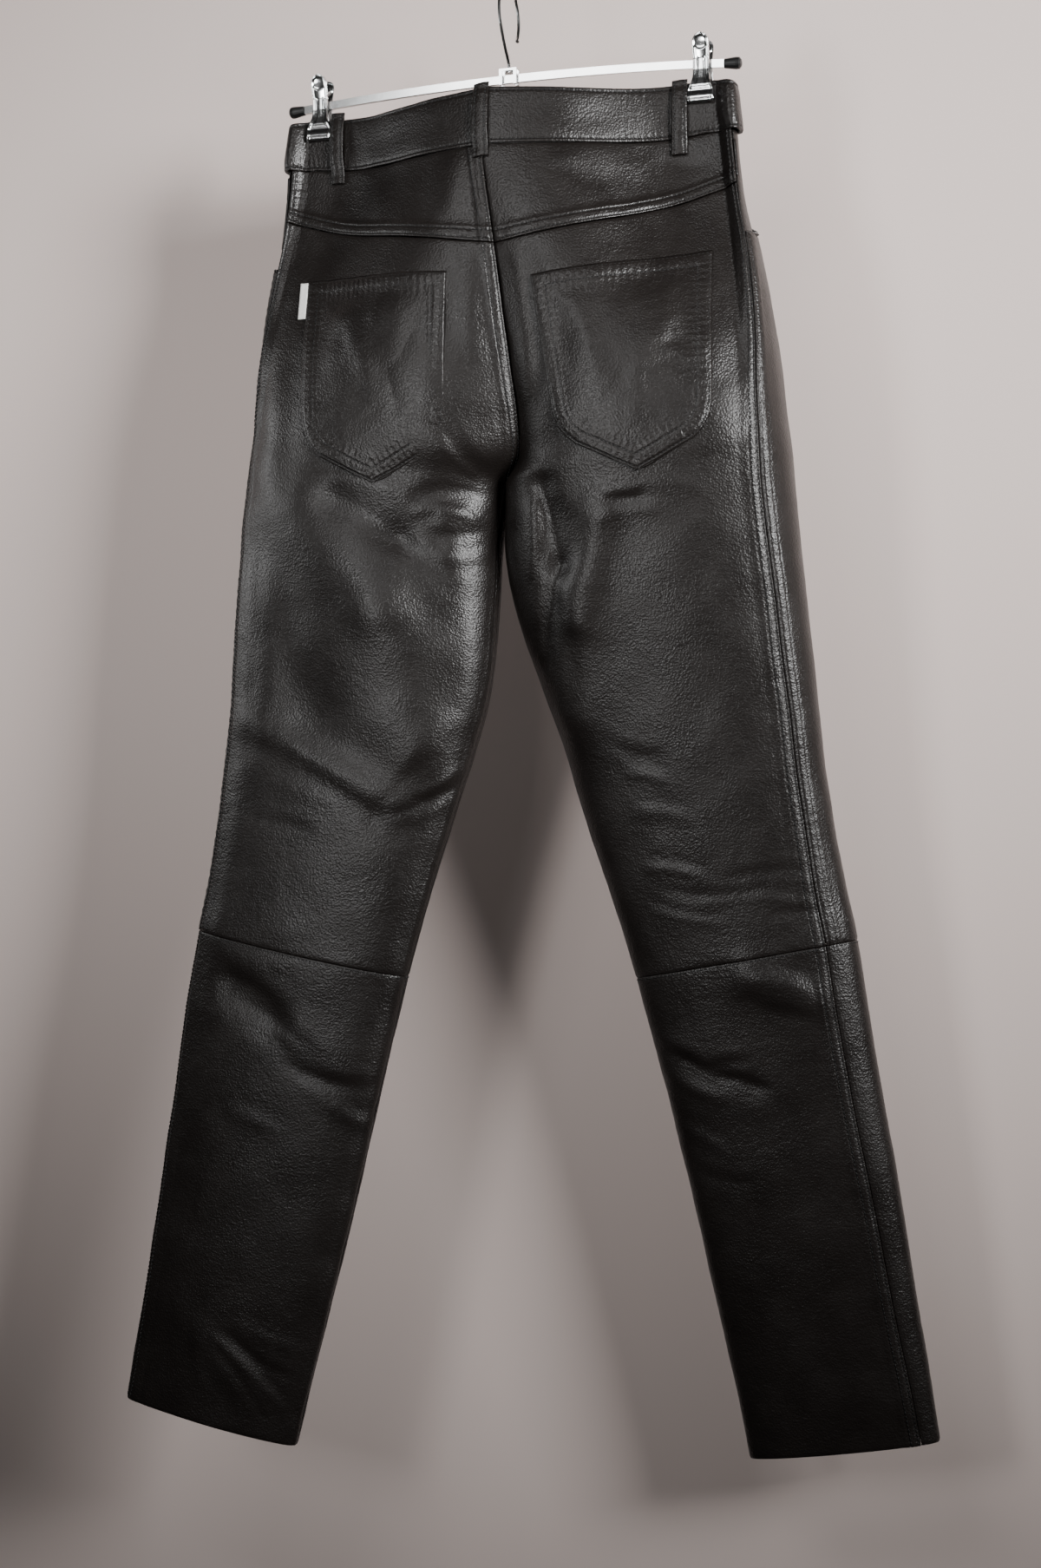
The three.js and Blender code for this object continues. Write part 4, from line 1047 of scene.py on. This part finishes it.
plate_z, plate_half, plate_inside = (np.array(column, float)[::-1] for column in zip(*PLATE_ROWS))
for name, side in SIDES.items():
    for face, outward in (("back", -1), ("front", 1)):
        head, shank = np.linspace(PLATE_TOP, PLATE_HEAD, 10)[:-1], np.linspace(PLATE_HEAD, PLATE_END, 96)
        level = np.concatenate([head, shank])[:, None]
        share = np.sin(np.linspace(-math.pi / 2, math.pi / 2, 41))[None, :]
        half = np.interp(level, plate_z, plate_half)
        x = half * share
        edge = half * (1 - np.abs(share))
        out = np.interp(level, plate_z, plate_inside) + PLATE_THICK
        out = out - SHANK_ROUND * share**2 * (1 - rise(-level, *SHANK_END))
        out = out + RIM_HEIGHT * bell(edge - 0.9, 0.7) - RIM_DROP * bell(edge, 0.45)
        apart = np.hypot(x, level - DIMPLE_Z) / DIMPLE_RADIUS
        out = out - DIMPLE_DEPTH * np.sqrt(np.clip(1 - apart**2, 0, 1))
        flute = FLUTE_DEPTH * rise(-level, *FLUTE_TOP) * (1 - rise(-level, *FLUTE_END))
        spread = FLUTE_X + FLUTE_SPREAD * np.maximum(-level - FLUTE_TOP[1], 0)
        out = out - flute * (bell(x - spread, FLUTE_WIDTH) + bell(x + spread, FLUTE_WIDTH))
        bend = JAW_BEND * bell(level + JAW_BEND_DROP, JAW_WIDTH) * rise(edge, 0.3, 1.2)
        ridge = JAW_RIDGE * bell(level + JAW_RIDGE_DROP, JAW_WIDTH)
        out = out - bend + ridge - LIP * rise(-level, *LIP_RANGE)
        points = np.stack([side * CLIP_X[side] + x + 0 * level, outward * out, level + 0 * x], axis=-1)
        piece = grid_object(f"clip_{name}_plate_{face}_chrome", points, -outward, chrome, PLATE_WALL)
        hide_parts(f"clip_{name}_plate_{face}")

for name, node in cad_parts.items():
    if name.startswith(("end_cap", "clip_left_pad", "clip_right_pad")):
        finish, slot, width = rubber, "rubber", 0.4
    elif name == "waist_button":
        finish, slot, width = plated, "button_metal", 0.3
    elif name in ("hanger_bar", "hook", "hook_bracket", "clip_left_spring", "clip_right_spring"):
        finish, slot, width = chrome, "chrome", 0.25
    else:
        continue
    node.data.materials.clear()
    node.data.materials.append(finish)
    bevel = node.modifiers.new("Soft edges", "BEVEL")
    bevel.width = width * MM
    bevel.segments = 2
    bevel.limit_method = "ANGLE"


# Picture
# A pale warm grey wall close behind, and the camera a little to the right. Soft lights: a strong one on the
# right, a weak one on the left, one high and one low in front, and one beyond the wall for the front.
VIEW_TURN = math.radians(18.3)
VIEW_DISTANCE = 1673
VIEW_AIM = (9, 0, -613)
WALL_BEHIND = 140
WALL_HALF_WIDTH = 3500
WALL_HALF_HEIGHT = 3000
ahead = np.array([-math.sin(VIEW_TURN), math.cos(VIEW_TURN), 0])
camera = add_object("camera", bpy.data.cameras.new("camera"))
camera.data.lens = 50
camera.data.sensor_fit = "VERTICAL"
camera.data.sensor_height = 36
camera.data.clip_end = 50
camera.location = (np.array(VIEW_AIM) - ahead * VIEW_DISTANCE) * MM
camera.rotation_euler = (math.pi / 2, 0, VIEW_TURN)
bpy.context.scene.camera = camera

wall_paint, tree, shader, _ = new_material("matt_wall_paint")
feed(shader, {"Base Color": linear("e0d0ca"), "Roughness": 0.9})
# The wall is clear from behind, and throws no shadow, so that the trousers' front shows and has its own light
from_behind = add_node(tree, "ShaderNodeNewGeometry").outputs["Backfacing"]
to_light = add_node(tree, "ShaderNodeLightPath").outputs["Is Shadow Ray"]
either = add_node(tree, "ShaderNodeMath", {0: from_behind, 1: to_light}, operation="MAXIMUM")
clear = add_node(tree, "ShaderNodeBsdfTransparent")
mixed = add_node(tree, "ShaderNodeMixShader", {0: either.outputs[0], 1: shader.outputs[0],
                                               2: clear.outputs[0]})
feed(tree.nodes["Material Output"], {"Surface": mixed.outputs[0]})
wall_mesh = bpy.data.meshes.new("wall")
corners = [(x * WALL_HALF_WIDTH, WALL_BEHIND, z * WALL_HALF_HEIGHT)
           for x, z in ((-1, -1), (1, -1), (1, 1), (-1, 1))]
wall_mesh.from_pydata((np.array(corners) * MM).tolist(), [], [(0, 1, 2, 3)])
wall_mesh.materials.append(wall_paint)
wall = add_object("wall", wall_mesh)

# Name, x, y, z, width, height, power in watts, spread in degrees, then the x and z it aims at
LIGHT_ROWS = [
    ("right_softbox", 1700, -1150, 0, 600, 600, 13.8, 74, 20, -130),
    ("left_softbox", -1300, -330, -150, 300, 600, 1.6, 105, 0, -280),
    ("high_softbox", -200, -1400, 390, 780, 360, 3.1, 130, 120, -200),
    ("front_softbox", -400, -1400, -480, 300, 400, 1.9, 90, 60, -340),
    ("back_softbox", 150, 1300, 850, 1100, 500, 9, 130, 0, -450),
]
for name, x, y, z, width, height, power, spread, aim_x, aim_z in LIGHT_ROWS:
    light = add_object(name, bpy.data.lights.new(name, "AREA"))
    light.data.shape = "RECTANGLE"
    light.data.size = width * MM
    light.data.size_y = height * MM
    light.data.energy = power
    light.data.spread = math.radians(spread)
    light.location = (x * MM, y * MM, z * MM)
    way = np.array([aim_x - x, -y, aim_z - z], float)
    light.rotation_euler = (math.acos(-way[2] / np.linalg.norm(way)), 0, math.atan2(-way[0], way[1]))
    light.visible_camera = False

# A dim room, which the camera alone sees as a pale one where the wall ends
ROOM_LIGHT = 0.012
ROOM_SEEN = 0.75
world = bpy.data.worlds.new("studio")
bpy.context.scene.world = world
world.use_nodes = True
tree = world.node_tree
to_camera = add_node(tree, "ShaderNodeLightPath").outputs["Is Camera Ray"]
strength = add_node(tree, "ShaderNodeMapRange", {"Value": to_camera, "To Min": ROOM_LIGHT,
                                                 "To Max": ROOM_SEEN})
feed(tree.nodes["Background"], {"Color": linear("cfc8c4"), "Strength": strength.outputs["Result"]})
